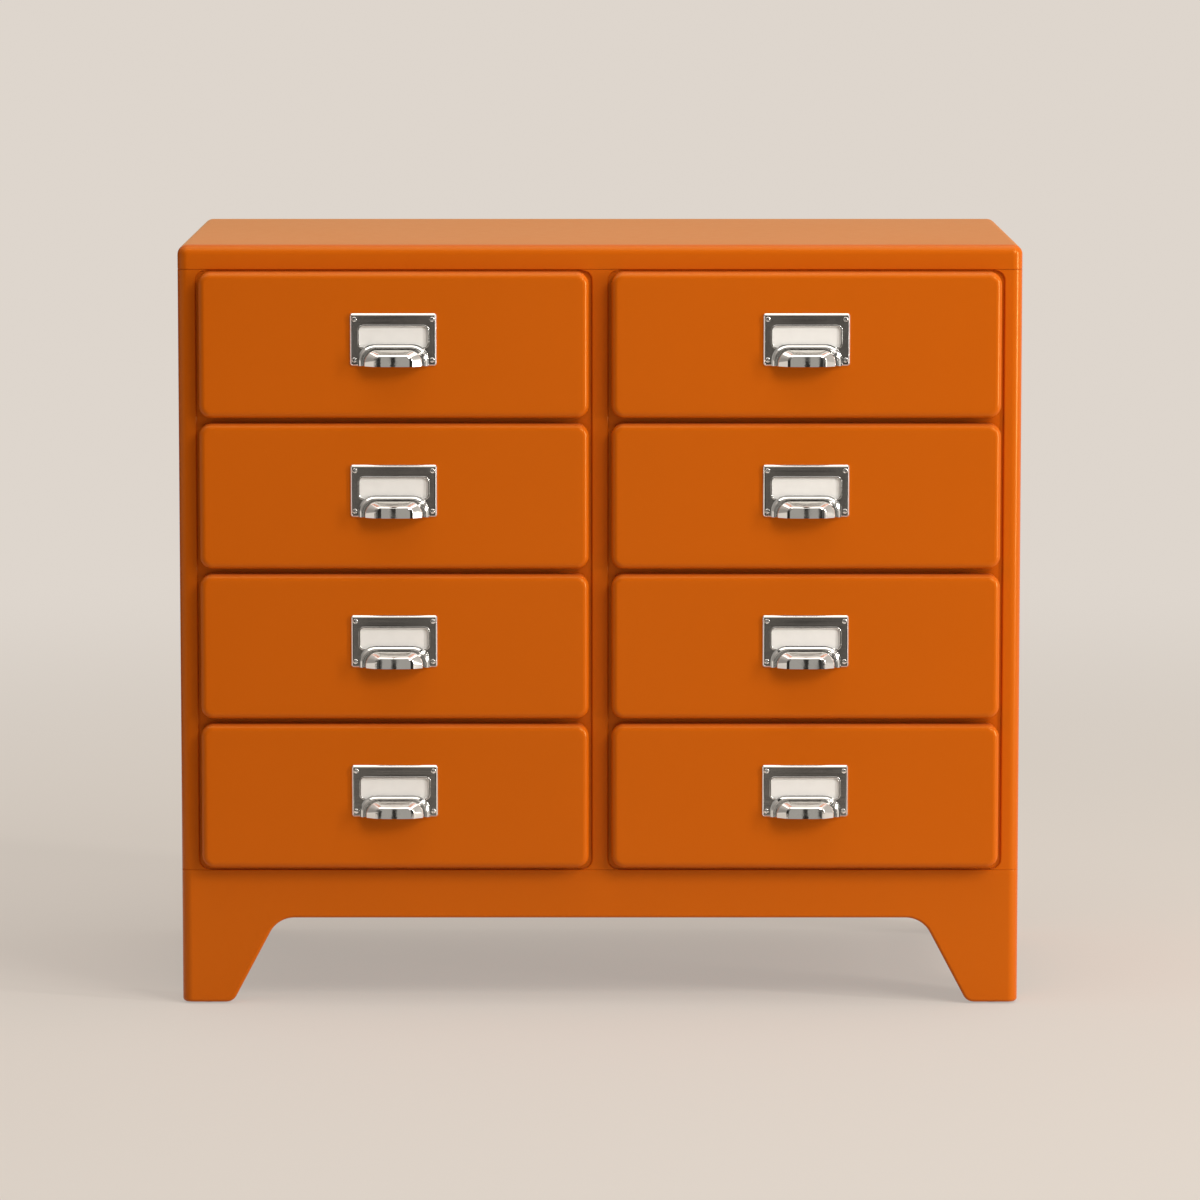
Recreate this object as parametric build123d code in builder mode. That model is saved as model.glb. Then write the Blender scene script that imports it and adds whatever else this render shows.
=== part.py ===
"""Archive cabinet of folded sheet steel: two columns of drawers on a leg base, with chromed label pulls.

Millimetres, X to the right, Y to the back, Z up.
The origin lies on the floor, in the middle of the whole plan.
"""

import math
import os

from build123d import *

# Driving dimensions of the carcass
cabinet_width = 750.0
carcass_depth = 400.0
base_height = 122.0
opening_height = 538.0
lid_height = 22.0
corner_radius = 9.5
sheet = 1.2

# Lid
lid_edge_radius = 9.0
lid_edge_steps = 3
lid_return = 20.0
seam_chamfer = 0.5

# Posts, mullion and cross rails round the drawer openings
post_width = 16.5
mullion_width = 15.0
post_return = 12.0
rear_flange = 22.0
top_flange = 20.0
top_flange_setback = 20.0
opening_radius = 9.0
web_tip = 0.5
web_lap = 3.0
rail_recess = 2.0
rail_overlap = 3.5
stop_lip = 3.0

# Leg base
base_sheet = 1.5
base_return = 20.0
apron_height = 44.0
foot_width = 45.5
leg_angle = 27.9
leg_top_radius = 25.0
toe_radius = 10.0
floor_flange = 6.0

# Glides under the feet
glide_height = 1.5
glide_radius = 14.0
glide_sides = 12
stem_radius = 4.0
stem_length = 8.0
stem_clearance = 0.1

# Bolts that hold the lid and the base to the body
bolt_radius = 2.5
bolt_length = 8.0
bolt_head_radius = 4.6
bolt_head_height = 3.5
bolt_clearance = 0.3
bolt_inset_x = 11.0
bolt_inset_y = 70.0
bolt_sides = 6

# Drawer fronts and the gaps round them
rows = 4
front_projection = 14.0
front_inset = 1.5
front_side_gap = 2.5
front_top_gap = 1.6
front_bottom_gap = 3.2
row_gap = 5.0
front_corner_radius = 11.0
front_edge_radius = 6.0
front_edge_steps = 2
front_return = 12.0

# Drawer boxes
box_side_gap = 4.0
box_rear_gap = 26.0
box_lift = 6.5
box_top_drop = 13.0
box_sheet = 1.0
hem_height = 8.0
hem_thickness = 2.4

# Stop lugs on the drawer boxes
lug_catch = 2.5
lug_setback = 70.0
lug_depth = 4.0
lug_height = 18.0
lug_above_guide = 8.0

# Runners under the drawer boxes
runner_sheet = 1.5
runner_gap = 0.3
guide_gap = 0.8
guide_height = 12.0
shelf_width = 15.0

# Label plate of each pull
plate_width = 76.5
plate_height = 46.5
plate_depth = 2.0
plate_sheet = 0.8
plate_rim = 1.2
plate_corner_cut = 1.2
plate_bevel = 1.0
pull_rise = 5.5
window_side = 6.6
window_drop = 10.2
window_height = 21.0
window_corner_cut = 1.8
card_margin = 1.3
card_thickness = 0.4

# Cup of each pull
cup_projection = 13.0
flange_side = 6.95
flange_height = 19.3
flange_rim = 4.5
flange_thickness = 1.0
flange_corner_radius = 14.0
cup_corner_radius = 12.5
shoulder_projection = 5.0
shoulder_inset_side = 1.5
shoulder_inset_top = 1.0
face_inset_side = 12.6
face_inset_top = 6.0
cup_wall = 1.2

# Screws of each pull
screw_inset_x = 3.8
screw_inset_z = 5.2
screw_radius = 1.2
screw_head_radius = 2.25
screw_head_height = 1.2
screw_length = 7.0
screw_clearance = 0.15
screw_sides = 6

# Places that follow from the driving dimensions
half_width = cabinet_width / 2
back_y = (carcass_depth + front_projection + plate_depth + cup_projection) / 2
frame_y = back_y - carcass_depth
carcass_y = (frame_y + back_y) / 2
back_inner_y = back_y - 2 * sheet
body_top = base_height + opening_height
apron_z = base_height - apron_height

opening_inner = mullion_width / 2
opening_outer = half_width - post_width
opening_width = opening_outer - opening_inner
column_x = (opening_inner + opening_outer) / 2
lip_inner = opening_inner + stop_lip
lip_outer = opening_outer - stop_lip
rail_y = frame_y + rail_recess
floor_y = frame_y + max(post_return, corner_radius)
runner_rear_y = back_y - corner_radius

front_width = opening_width - 2 * front_side_gap
front_height = (opening_height - front_top_gap - front_bottom_gap - (rows - 1) * row_gap) / rows
front_depth = front_projection + front_inset
front_rear_y = frame_y + front_inset
face_y = frame_y - front_projection

box_width = opening_width - 2 * box_side_gap
box_rear_y = back_inner_y - box_rear_gap
box_depth = box_rear_y - front_rear_y
box_y = (box_rear_y + front_rear_y) / 2
box_height = front_height - box_lift - box_top_drop
lug_z = box_lift + guide_height + lug_above_guide
lug_y = box_rear_y - lug_setback
drawer_travel = lug_y - frame_y - post_return

plate_y = face_y - plate_depth
pull_z = front_height / 2 + pull_rise
plate_bottom = pull_z - plate_height / 2
window_z = pull_z + plate_height / 2 - window_drop - window_height / 2
window_width = plate_width - 2 * window_side
flange_width = plate_width - 2 * flange_side
cup_width = flange_width - 2 * flange_rim
cup_height = flange_height - flange_rim
screw_x = plate_width / 2 - screw_inset_x
screw_z = plate_height / 2 - screw_inset_z

sides = {"left": -1, "right": 1}
corners = [(-1, -1), (-1, 1), (1, -1), (1, 1)]
bolt_x = half_width - bolt_inset_x
bolt_y = carcass_depth / 2 - bolt_inset_y
bolt_points = [(x * bolt_x, y * bolt_y) for x, y in corners]
foot_x = half_width - foot_width / 2
foot_y = (carcass_depth - foot_width) / 2
foot_points = [(x * foot_x, y * foot_y) for x, y in corners]


def row_bottom(row):
    """Height of the lower edge of a drawer front, with row 0 at the top."""
    return body_top - front_top_gap - front_height - row * (front_height + row_gap)


def inner_bevel(edge_radius, wall):
    """Bevel inside a pressed corner that touches the inner side of the wall's bend."""
    return (2 - math.sqrt(2)) * (edge_radius - wall)


def round_corners(outline, radius):
    """Give each corner of an outline three flats that touch a round of this radius."""
    chamfer(outline.vertices(), length=(2 - math.sqrt(2)) * radius)
    chamfer(outline.vertices(), length=radius * (math.tan(math.pi / 8) - math.tan(math.pi / 16)))


def edge_steps(edge_radius, count):
    """Lengths on the face and on the side of each chamfer that follows a pressed edge of this radius."""
    turn = math.pi / 2 / count
    reach = 0
    for step in range(count):
        start_x = edge_radius * (1 - math.cos(step * turn))
        start_depth = edge_radius * (1 - math.sin(step * turn))
        end_x = edge_radius * (1 - math.cos((step + 1) * turn))
        end_depth = edge_radius * (1 - math.sin((step + 1) * turn))
        next_reach = start_x + (end_x - start_x) * start_depth / (start_depth - end_depth)
        yield next_reach - reach, math.hypot(reach - start_x, start_depth)
        reach = next_reach


def front_plane(y):
    """Upright plane at depth y that faces the front."""
    return Plane.XZ.offset(-y)


def side_plane(x):
    """Upright plane at x that faces right, centred on the depth of the carcass."""
    return Plane(origin=(x, carcass_y, 0), x_dir=(0, 1, 0), z_dir=(1, 0, 0))


def plan_plane(z):
    """Level plane at height z, centred on the plan of the carcass."""
    return Plane(origin=(0, carcass_y, z))


def corner_web(edge_x, outward, seam_z, upward):
    """Sheet in the corner of a drawer opening, between its round outline and the square corner."""
    centre_x = edge_x - outward * opening_radius
    centre_z = seam_z - upward * (web_tip + opening_radius)
    lap_x = edge_x + outward * web_lap
    diagonal = opening_radius * math.sqrt(0.5)
    with BuildLine() as outline:
        square = Polyline(
            (centre_x, centre_z + upward * opening_radius),
            (centre_x, seam_z),
            (lap_x, seam_z),
            (lap_x, centre_z),
            (edge_x, centre_z),
        )
        middle = (centre_x + outward * diagonal, centre_z + upward * diagonal)
        ThreePointArc(square @ 1, middle, square @ 0)
    make_face(outline.edges())


def leg_gap(span):
    """Elevation of the gap under the apron, between the two splayed legs of one side of the base."""
    toe_x = span / 2 - foot_width
    root_x = toe_x - (apron_z - glide_height) * math.tan(math.radians(leg_angle))
    gap_end = toe_x + toe_radius
    with BuildLine() as outline:
        FilletPolyline(
            (-gap_end, glide_height),
            (-toe_x, glide_height),
            (-root_x, apron_z),
            (root_x, apron_z),
            (toe_x, glide_height),
            (gap_end, glide_height),
            radius=(toe_radius, leg_top_radius, leg_top_radius, toe_radius),
        )
        Polyline((gap_end, glide_height), (gap_end, 0), (-gap_end, 0), (-gap_end, glide_height))
    make_face(outline.edges())


def leg_pocket(span):
    """Inside of one side of the base, within its turned-in edges."""
    wall_x = span / 2 - base_sheet
    floor_z = glide_height + base_sheet
    roof_z = apron_z + base_sheet
    slope = math.tan(math.radians(leg_angle))
    toe_x = span / 2 - foot_width + base_sheet / math.cos(math.radians(leg_angle)) - base_sheet * slope
    root_x = toe_x - (roof_z - floor_z) * slope
    inner_toe = toe_radius - base_sheet
    with BuildLine() as outline:
        inside = FilletPolyline(
            (-wall_x, base_height - base_sheet),
            (-wall_x, floor_z),
            (-toe_x, floor_z),
            (-root_x, roof_z),
            (root_x, roof_z),
            (toe_x, floor_z),
            (wall_x, floor_z),
            (wall_x, base_height - base_sheet),
            radius=(0, inner_toe, 0, 0, inner_toe, 0),
        )
        Line(inside @ 1, inside @ 0)
    make_face(outline.edges())


# Lid: a pressed pan with an inward return that lies on the body
lid_edge = min(lid_edge_radius, corner_radius - sheet / 4)

with BuildPart() as lid_hollow:
    lid_bevel = inner_bevel(lid_edge, sheet)
    with BuildSketch(plan_plane(body_top + sheet)) as lid_hollow_plan:
        Rectangle(cabinet_width - 2 * sheet, carcass_depth - 2 * sheet)
        chamfer(lid_hollow_plan.vertices(), length=inner_bevel(corner_radius, sheet))
    extrude(amount=lid_height - 2 * sheet)
    chamfer(lid_hollow.faces().sort_by(Axis.Z)[-1].edges(), length=lid_bevel)

with BuildPart() as top_lid:
    with BuildSketch(plan_plane(body_top)):
        RectangleRounded(cabinet_width, carcass_depth, corner_radius)
    extrude(amount=lid_height)
    chamfer(top_lid.faces().sort_by(Axis.Z)[0].edges(), length=seam_chamfer)
    for on_face, on_side in edge_steps(lid_edge, lid_edge_steps):
        lid_face = top_lid.faces().sort_by(Axis.Z)[-1]
        chamfer(lid_face.edges(), length=on_face, length2=on_side, reference=lid_face)
    add(lid_hollow.part, mode=Mode.SUBTRACT)
    with BuildSketch(plan_plane(body_top)):
        Rectangle(cabinet_width - 2 * lid_return, carcass_depth - 2 * lid_return)
        with Locations(*bolt_points):
            RegularPolygon(bolt_radius + bolt_clearance, bolt_sides)
    extrude(amount=sheet, mode=Mode.SUBTRACT)

# Side panel: stop lip, post, side wall and rear flange folded from one sheet
with BuildPart() as right_side_panel:
    with BuildSketch(Plane.XY.offset(base_height)):
        with BuildLine():
            FilletPolyline(
                (lip_outer, frame_y + post_return),
                (lip_outer, rail_y),
                (opening_outer, rail_y),
                (opening_outer, frame_y),
                (half_width, frame_y),
                (half_width, back_y),
                (half_width - rear_flange, back_y),
                radius=(0, 0, 0, corner_radius, corner_radius),
            )
            offset(amount=sheet, side=Side.LEFT)
        make_face()
    extrude(amount=opening_height)
    with BuildSketch(front_plane(frame_y)):
        corner_web(opening_outer, 1, body_top, 1)
        corner_web(opening_outer, 1, base_height, -1)
    extrude(amount=-sheet)
    flange_length = carcass_depth - 2 * (corner_radius + top_flange_setback)
    with BuildSketch(plan_plane(body_top - sheet)):
        with Locations((half_width - sheet / 2, 0)):
            Rectangle(top_flange, flange_length, align=(Align.MAX, Align.CENTER))
        with Locations(*bolt_points):
            RegularPolygon(bolt_radius + bolt_clearance, bolt_sides, mode=Mode.SUBTRACT)
    extrude(amount=sheet)

with BuildPart() as left_side_panel:
    mirror(right_side_panel.part, about=Plane.YZ)

# Mullion: a channel between the two columns of openings, with a stop lip on each side
with BuildPart() as centre_mullion:
    with BuildSketch(Plane.XY.offset(base_height)):
        with BuildLine():
            Polyline(
                (-lip_inner, frame_y + post_return),
                (-lip_inner, rail_y),
                (-opening_inner, rail_y),
                (-opening_inner, frame_y),
                (opening_inner, frame_y),
                (opening_inner, rail_y),
                (lip_inner, rail_y),
                (lip_inner, frame_y + post_return),
            )
            offset(amount=sheet, side=Side.LEFT)
        make_face()
    extrude(amount=opening_height)
    with BuildSketch(front_plane(frame_y)):
        for side in sides.values():
            corner_web(side * opening_inner, -side, body_top, 1)
            corner_web(side * opening_inner, -side, base_height, -1)
    extrude(amount=-sheet)

# Sheets inside the body
with BuildPart() as back_panel:
    with BuildSketch(front_plane(back_y - sheet)):
        with Locations((0, base_height)):
            Rectangle(cabinet_width - 2 * corner_radius, opening_height, align=(Align.CENTER, Align.MIN))
    extrude(amount=sheet)

with BuildPart() as floor_pan:
    floor_width = cabinet_width - 2 * sheet
    with BuildSketch(Plane.XY.offset(base_height)) as floor_plan:
        with Locations((0, floor_y)):
            Rectangle(floor_width, back_inner_y - floor_y, align=(Align.CENTER, Align.MIN))
        chamfer(floor_plan.vertices().group_by(Axis.Y)[-1], length=corner_radius)
        with Locations((0, carcass_y)):
            with Locations(*bolt_points):
                RegularPolygon(bolt_radius + bolt_clearance, bolt_sides, mode=Mode.SUBTRACT)
    extrude(amount=sheet)
    with BuildSketch(Plane.XY.offset(base_height)):
        for side in sides.values():
            with Locations((side * (floor_width - sheet) / 2, floor_y)):
                Rectangle(sheet, back_inner_y - corner_radius - floor_y, align=(Align.CENTER, Align.MIN))
    extrude(amount=floor_flange)

with BuildPart() as centre_partition:
    with BuildSketch(Plane.XY.offset(base_height + sheet)):
        with Locations((0, frame_y + sheet)):
            Rectangle(sheet, back_inner_y - frame_y - sheet, align=(Align.CENTER, Align.MIN))
    extrude(amount=opening_height - sheet)

# Cross rails: a channel behind the gap above each drawer, and one behind the gap below the last drawer
rail_spans = [(body_top - front_top_gap - rail_overlap, body_top)]
for row in range(rows - 1):
    rail_spans.append((row_bottom(row) - row_gap - rail_overlap, row_bottom(row) + rail_overlap))
rail_spans.append((base_height, base_height + front_bottom_gap + rail_overlap))

with BuildPart() as cross_rails:
    for rail_x in (-lip_outer, lip_inner):
        for rail_bottom, rail_top in rail_spans:
            with BuildSketch(Plane.YZ.offset(rail_x)):
                with BuildLine():
                    Polyline(
                        (floor_y, rail_top),
                        (rail_y, rail_top),
                        (rail_y, rail_bottom),
                        (floor_y, rail_bottom),
                    )
                    offset(amount=sheet, side=Side.LEFT)
                make_face()
            extrude(amount=lip_outer - lip_inner)


def runner_section(wall_x, box_edge_x, outward, box_bottom):
    """Stepped section of a runner: shelf under the box, guide beside it, ledge, and leg on the wall."""
    shelf_top = box_bottom - runner_gap
    shelf_under = shelf_top - runner_sheet
    shelf_end = box_edge_x - outward * shelf_width
    ledge_top = box_bottom + guide_height
    ledge_under = ledge_top - runner_sheet
    guide_x = box_edge_x + outward * guide_gap
    with BuildLine() as outline:
        Polyline(
            (shelf_end, shelf_top),
            (guide_x, shelf_top),
            (guide_x, ledge_top),
            (wall_x, ledge_top),
            (wall_x, shelf_under),
            (wall_x - outward * runner_sheet, shelf_under),
            (wall_x - outward * runner_sheet, ledge_under),
            (guide_x + outward * runner_sheet, ledge_under),
            (guide_x + outward * runner_sheet, shelf_under),
            (shelf_end, shelf_under),
            close=True,
        )
    make_face(outline.edges())


# Runners: one on the side panel and one on the partition for each drawer
with BuildPart() as drawer_runners:
    with BuildSketch(front_plane(runner_rear_y)):
        for side in sides.values():
            for row in range(rows):
                box_bottom = row_bottom(row) + box_lift
                wall_x = side * (half_width - sheet)
                runner_section(wall_x, side * (column_x + box_width / 2), side, box_bottom)
                partition_x = side * sheet / 2
                runner_section(partition_x, side * (column_x - box_width / 2), -side, box_bottom)
    extrude(amount=runner_rear_y - floor_y)

# Leg base: apron and legs folded in at every edge, with a plate in each foot
with BuildPart() as leg_pockets:
    pocket_depth = base_return - base_sheet
    for y in (frame_y + base_return, back_y - base_sheet):
        with BuildSketch(front_plane(y)):
            leg_pocket(cabinet_width)
        extrude(amount=pocket_depth)
    for x in (base_sheet - half_width, half_width - base_return):
        with BuildSketch(side_plane(x)):
            leg_pocket(carcass_depth)
        extrude(amount=pocket_depth)
    with BuildSketch(plan_plane(0)):
        RectangleRounded(
            cabinet_width - 2 * base_sheet,
            carcass_depth - 2 * base_sheet,
            corner_radius - base_sheet,
        )
    extrude(amount=base_height, mode=Mode.INTERSECT)

with BuildPart() as leg_base:
    with BuildSketch(plan_plane(glide_height)):
        RectangleRounded(cabinet_width, carcass_depth, corner_radius)
    extrude(amount=base_height - glide_height)
    with BuildSketch(plan_plane(glide_height + base_sheet)):
        Rectangle(cabinet_width - 2 * base_return, carcass_depth - 2 * base_return)
    extrude(amount=base_height, mode=Mode.SUBTRACT)
    with BuildSketch(front_plane(back_y)):
        leg_gap(cabinet_width)
    extrude(amount=carcass_depth, mode=Mode.SUBTRACT)
    with BuildSketch(side_plane(-half_width)):
        leg_gap(carcass_depth)
    extrude(amount=cabinet_width, mode=Mode.SUBTRACT)
    add(leg_pockets.part, mode=Mode.SUBTRACT)
    with BuildSketch(plan_plane(base_height)):
        with Locations(*bolt_points):
            RegularPolygon(bolt_radius + bolt_clearance, bolt_sides)
    extrude(amount=-base_sheet, mode=Mode.SUBTRACT)
    with BuildSketch(plan_plane(glide_height)):
        with Locations(*foot_points):
            RegularPolygon(stem_radius + stem_clearance, glide_sides)
    extrude(amount=base_sheet, mode=Mode.SUBTRACT)

with BuildPart() as glides:
    with BuildSketch(plan_plane(0)):
        with Locations(*foot_points):
            RegularPolygon(glide_radius, glide_sides)
    extrude(amount=glide_height)
    with BuildSketch(plan_plane(glide_height)):
        with Locations(*foot_points):
            RegularPolygon(stem_radius, glide_sides)
    extrude(amount=stem_length)

# Bolts: heads under the turned-in edges, threads through both sheets
with BuildPart() as carcass_bolts:
    for head_top in (body_top - sheet, base_height - base_sheet):
        with BuildSketch(plan_plane(head_top)):
            with Locations(*bolt_points):
                RegularPolygon(bolt_head_radius, bolt_sides)
        extrude(amount=-bolt_head_height)
        with BuildSketch(plan_plane(head_top)):
            with Locations(*bolt_points):
                RegularPolygon(bolt_radius, bolt_sides)
        extrude(amount=bolt_length)

# Drawer front, drawn round x = 0 with its lower edge at z = 0
with BuildPart() as front_hollow:
    with BuildSketch(front_plane(front_rear_y - sheet)) as front_hollow_outline:
        with Locations((0, front_height / 2)):
            Rectangle(front_width - 2 * sheet, front_height - 2 * sheet)
        chamfer(front_hollow_outline.vertices(), length=inner_bevel(front_corner_radius, sheet))
    extrude(amount=front_depth - 2 * sheet)
    chamfer(front_hollow.faces().sort_by(Axis.Y)[0].edges(), length=inner_bevel(front_edge_radius, sheet))

with BuildPart() as drawer_front:
    with BuildSketch(front_plane(front_rear_y)) as front_outline:
        with Locations((0, front_height / 2)):
            Rectangle(front_width, front_height)
        round_corners(front_outline, front_corner_radius)
    extrude(amount=front_depth)
    for on_face, on_side in edge_steps(front_edge_radius, front_edge_steps):
        front_face = drawer_front.faces().sort_by(Axis.Y)[0]
        chamfer(front_face.edges(), length=on_face, length2=on_side, reference=front_face)
    add(front_hollow.part, mode=Mode.SUBTRACT)
    with BuildSketch(front_plane(front_rear_y)):
        with Locations((0, front_height / 2)):
            Rectangle(front_width - 2 * front_return, front_height - 2 * front_return)
    extrude(amount=sheet, mode=Mode.SUBTRACT)
    with BuildSketch(front_plane(face_y)):
        with Locations((0, pull_z)):
            with GridLocations(2 * screw_x, 2 * screw_z, 2, 2):
                RegularPolygon(screw_radius + screw_clearance, screw_sides)
    extrude(amount=-sheet, mode=Mode.SUBTRACT)

# Drawer box: a tray with a hemmed rim and a stop lug on each side
with BuildPart() as drawer_box:
    with BuildSketch(Plane.XY.offset(box_lift)):
        with Locations((0, box_y)):
            Rectangle(box_width, box_depth)
    extrude(amount=box_height)
    with BuildSketch(Plane.XY.offset(box_lift + box_sheet)):
        with Locations((0, box_y)):
            Rectangle(box_width - 2 * box_sheet, box_depth - 2 * box_sheet)
    extrude(amount=box_height - box_sheet - hem_height, mode=Mode.SUBTRACT)
    with BuildSketch(Plane.XY.offset(box_lift + box_height)):
        with Locations((0, box_y)):
            Rectangle(box_width - 2 * hem_thickness, box_depth - 2 * hem_thickness)
    extrude(amount=-hem_height, mode=Mode.SUBTRACT)
    with BuildSketch(Plane.XY.offset(lug_z)):
        for side in sides.values():
            inner_x = side * (box_width / 2 - box_sheet / 2)
            outer_x = side * (box_width / 2 + box_side_gap + lug_catch)
            with Locations(((inner_x + outer_x) / 2, lug_y)):
                Rectangle(abs(outer_x - inner_x), lug_depth, align=(Align.CENTER, Align.MIN))
    extrude(amount=lug_height)

# Label plate: a shallow pan with a bevelled rim and a window
with BuildPart() as pull_plate:
    with BuildSketch(front_plane(face_y)) as plate_outline:
        with Locations((0, pull_z)):
            Rectangle(plate_width, plate_height)
        chamfer(plate_outline.vertices(), length=plate_corner_cut)
    extrude(amount=plate_depth)
    chamfer(pull_plate.faces().sort_by(Axis.Y)[0].edges(), length=plate_bevel)
    with BuildSketch(front_plane(face_y)):
        with Locations((0, pull_z)):
            Rectangle(plate_width - 2 * plate_rim, plate_height - 2 * plate_rim)
    extrude(amount=plate_depth - plate_sheet, mode=Mode.SUBTRACT)
    with BuildSketch(front_plane(plate_y)) as plate_cuts:
        with Locations((0, window_z)):
            Rectangle(window_width, window_height)
        chamfer(plate_cuts.vertices(), length=window_corner_cut)
        with Locations((0, pull_z)):
            with GridLocations(2 * screw_x, 2 * screw_z, 2, 2):
                RegularPolygon(screw_radius + screw_clearance, screw_sides)
    extrude(amount=-plate_sheet, mode=Mode.SUBTRACT)

# Cup: a stamped hood with sloping sides on an arched flange, open below and behind
def cup_hood(wall):
    """Hood of the cup, drawn in from its outer side by a wall thickness."""
    base_x = cup_width / 2 - wall
    shoulder_x = cup_width / 2 - shoulder_inset_side - wall / 2
    hood_x = cup_width / 2 - face_inset_side - wall / 2
    base_z = plate_bottom + cup_height - wall
    shoulder_z = plate_bottom + cup_height - shoulder_inset_top - wall / 2
    hood_z = plate_bottom + cup_height - face_inset_top - wall / 2
    shoulder_y = plate_y - shoulder_projection + wall
    hood_y = plate_y - cup_projection + wall
    with BuildPart() as hood:
        with BuildSketch(front_plane(plate_y)) as arch:
            with Locations((0, plate_bottom)):
                Rectangle(2 * base_x, 2 * (base_z - plate_bottom))
            round_corners(arch, cup_corner_radius - wall)
        extrude(amount=cup_projection - wall)
        with BuildSketch(Plane.XY.offset(plate_bottom)):
            with BuildLine():
                Polyline(
                    (-base_x, plate_y),
                    (-shoulder_x, shoulder_y),
                    (-hood_x, hood_y),
                    (hood_x, hood_y),
                    (shoulder_x, shoulder_y),
                    (base_x, plate_y),
                    close=True,
                )
            make_face()
        extrude(amount=cup_height, mode=Mode.INTERSECT)
        with BuildSketch(Plane.YZ):
            with BuildLine():
                Polyline(
                    (plate_y, plate_bottom),
                    (plate_y, base_z),
                    (shoulder_y, shoulder_z),
                    (hood_y, hood_z),
                    (hood_y, plate_bottom),
                    close=True,
                )
            make_face()
        extrude(amount=cup_width / 2, both=True, mode=Mode.INTERSECT)
    return hood.part


with BuildPart() as pull_cup:
    add(cup_hood(0))
    with BuildSketch(front_plane(plate_y)) as flange_outline:
        with Locations((0, plate_bottom)):
            Rectangle(flange_width, 2 * flange_height)
        round_corners(flange_outline, flange_corner_radius)
    extrude(amount=flange_thickness)
    add(cup_hood(cup_wall), mode=Mode.SUBTRACT)
    split(bisect_by=Plane.XY.offset(plate_bottom), keep=Keep.TOP)

with BuildPart() as label_card:
    with BuildSketch(front_plane(face_y)):
        with Locations((0, window_z)):
            Rectangle(window_width + 2 * card_margin, window_height + 2 * card_margin)
    extrude(amount=card_thickness)

with BuildPart() as pull_screws:
    with BuildSketch(front_plane(plate_y)):
        with Locations((0, pull_z)):
            with GridLocations(2 * screw_x, 2 * screw_z, 2, 2):
                RegularPolygon(screw_head_radius, screw_sides)
    extrude(amount=screw_head_height)
    with BuildSketch(front_plane(plate_y)):
        with Locations((0, pull_z)):
            with GridLocations(2 * screw_x, 2 * screw_z, 2, 2):
                RegularPolygon(screw_radius, screw_sides)
    extrude(amount=-screw_length)

os.makedirs("parts", exist_ok=True)


def write_piece(piece, name):
    """Name a finished piece and write its file."""
    piece.part.label = name
    export_step(piece.part, f"parts/{name}.step")


carcass_pieces = {
    "top_lid": top_lid,
    "left_side_panel": left_side_panel,
    "right_side_panel": right_side_panel,
    "centre_mullion": centre_mullion,
    "back_panel": back_panel,
    "floor_pan": floor_pan,
    "centre_partition": centre_partition,
    "cross_rails": cross_rails,
    "drawer_runners": drawer_runners,
    "leg_base": leg_base,
    "glides": glides,
    "carcass_bolts": carcass_bolts,
}
for name, piece in carcass_pieces.items():
    write_piece(piece, name)

drawer_pieces = {
    "drawer_front": drawer_front,
    "drawer_box": drawer_box,
    "pull_plate": pull_plate,
    "pull_cup": pull_cup,
    "label_card": label_card,
    "pull_screws": pull_screws,
}
for side_name, side in sides.items():
    for row in range(rows):
        for name, piece in drawer_pieces.items():
            with BuildPart() as placed_piece:
                with Locations((side * column_x, 0, row_bottom(row))):
                    add(piece.part)
            write_piece(placed_piece, f"{name}_{side_name}_{row + 1}")

print("drawer travel", round(drawer_travel, 2))
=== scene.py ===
"""Looks of a steel archive cabinet: smooth pressed sheets, chromed label pulls, paint and a plain studio.

Metres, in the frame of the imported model: X to the right, Y to the back, Z up.
"""

import math

import bmesh
import bpy
from bpy.props import FloatProperty, FloatVectorProperty, PointerProperty
from mathutils import Matrix, Vector


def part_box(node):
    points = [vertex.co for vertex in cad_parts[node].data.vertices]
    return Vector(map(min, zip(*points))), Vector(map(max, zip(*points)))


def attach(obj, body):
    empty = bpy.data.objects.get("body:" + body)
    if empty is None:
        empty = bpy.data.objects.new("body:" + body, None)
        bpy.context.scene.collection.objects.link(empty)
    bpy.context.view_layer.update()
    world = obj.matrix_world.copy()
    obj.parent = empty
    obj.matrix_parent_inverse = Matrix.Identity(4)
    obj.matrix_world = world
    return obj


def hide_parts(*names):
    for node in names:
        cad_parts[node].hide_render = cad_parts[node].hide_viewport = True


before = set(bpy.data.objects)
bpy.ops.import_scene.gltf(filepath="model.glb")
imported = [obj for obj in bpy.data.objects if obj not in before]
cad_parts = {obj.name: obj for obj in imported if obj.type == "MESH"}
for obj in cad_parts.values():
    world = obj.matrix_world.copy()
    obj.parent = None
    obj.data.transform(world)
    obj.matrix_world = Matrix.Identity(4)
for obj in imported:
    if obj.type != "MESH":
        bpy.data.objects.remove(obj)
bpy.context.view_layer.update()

bl_info = {
    "name": "Archive Cabinet",
    "version": (1, 0, 0),
    "blender": (4, 5, 0),
    "location": "View3D > Sidebar > Cabinet",
    "description": "Dresses the packed model of a steel archive cabinet",
    "category": "Object",
}

SIDES = ("left", "right")
ROWS = (1, 2, 3, 4)
QUARTER = math.pi / 2

# Smallest inner round of a fold, and the gap that keeps two flat faces apart, in metres
LEAST_BEND = 0.0002
HAIR = 0.00005

# Outline of a rail's gusset: reach along the rail and height along the lip, in metres
GUSSET_OUTLINE = (
    (0.0, -0.001),
    (0.0027, -0.001),
    (0.0027, 0.0),
    (0.0011, 0.0019),
    (0.0006, 0.0029),
    (0.0, 0.0042),
)

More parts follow.
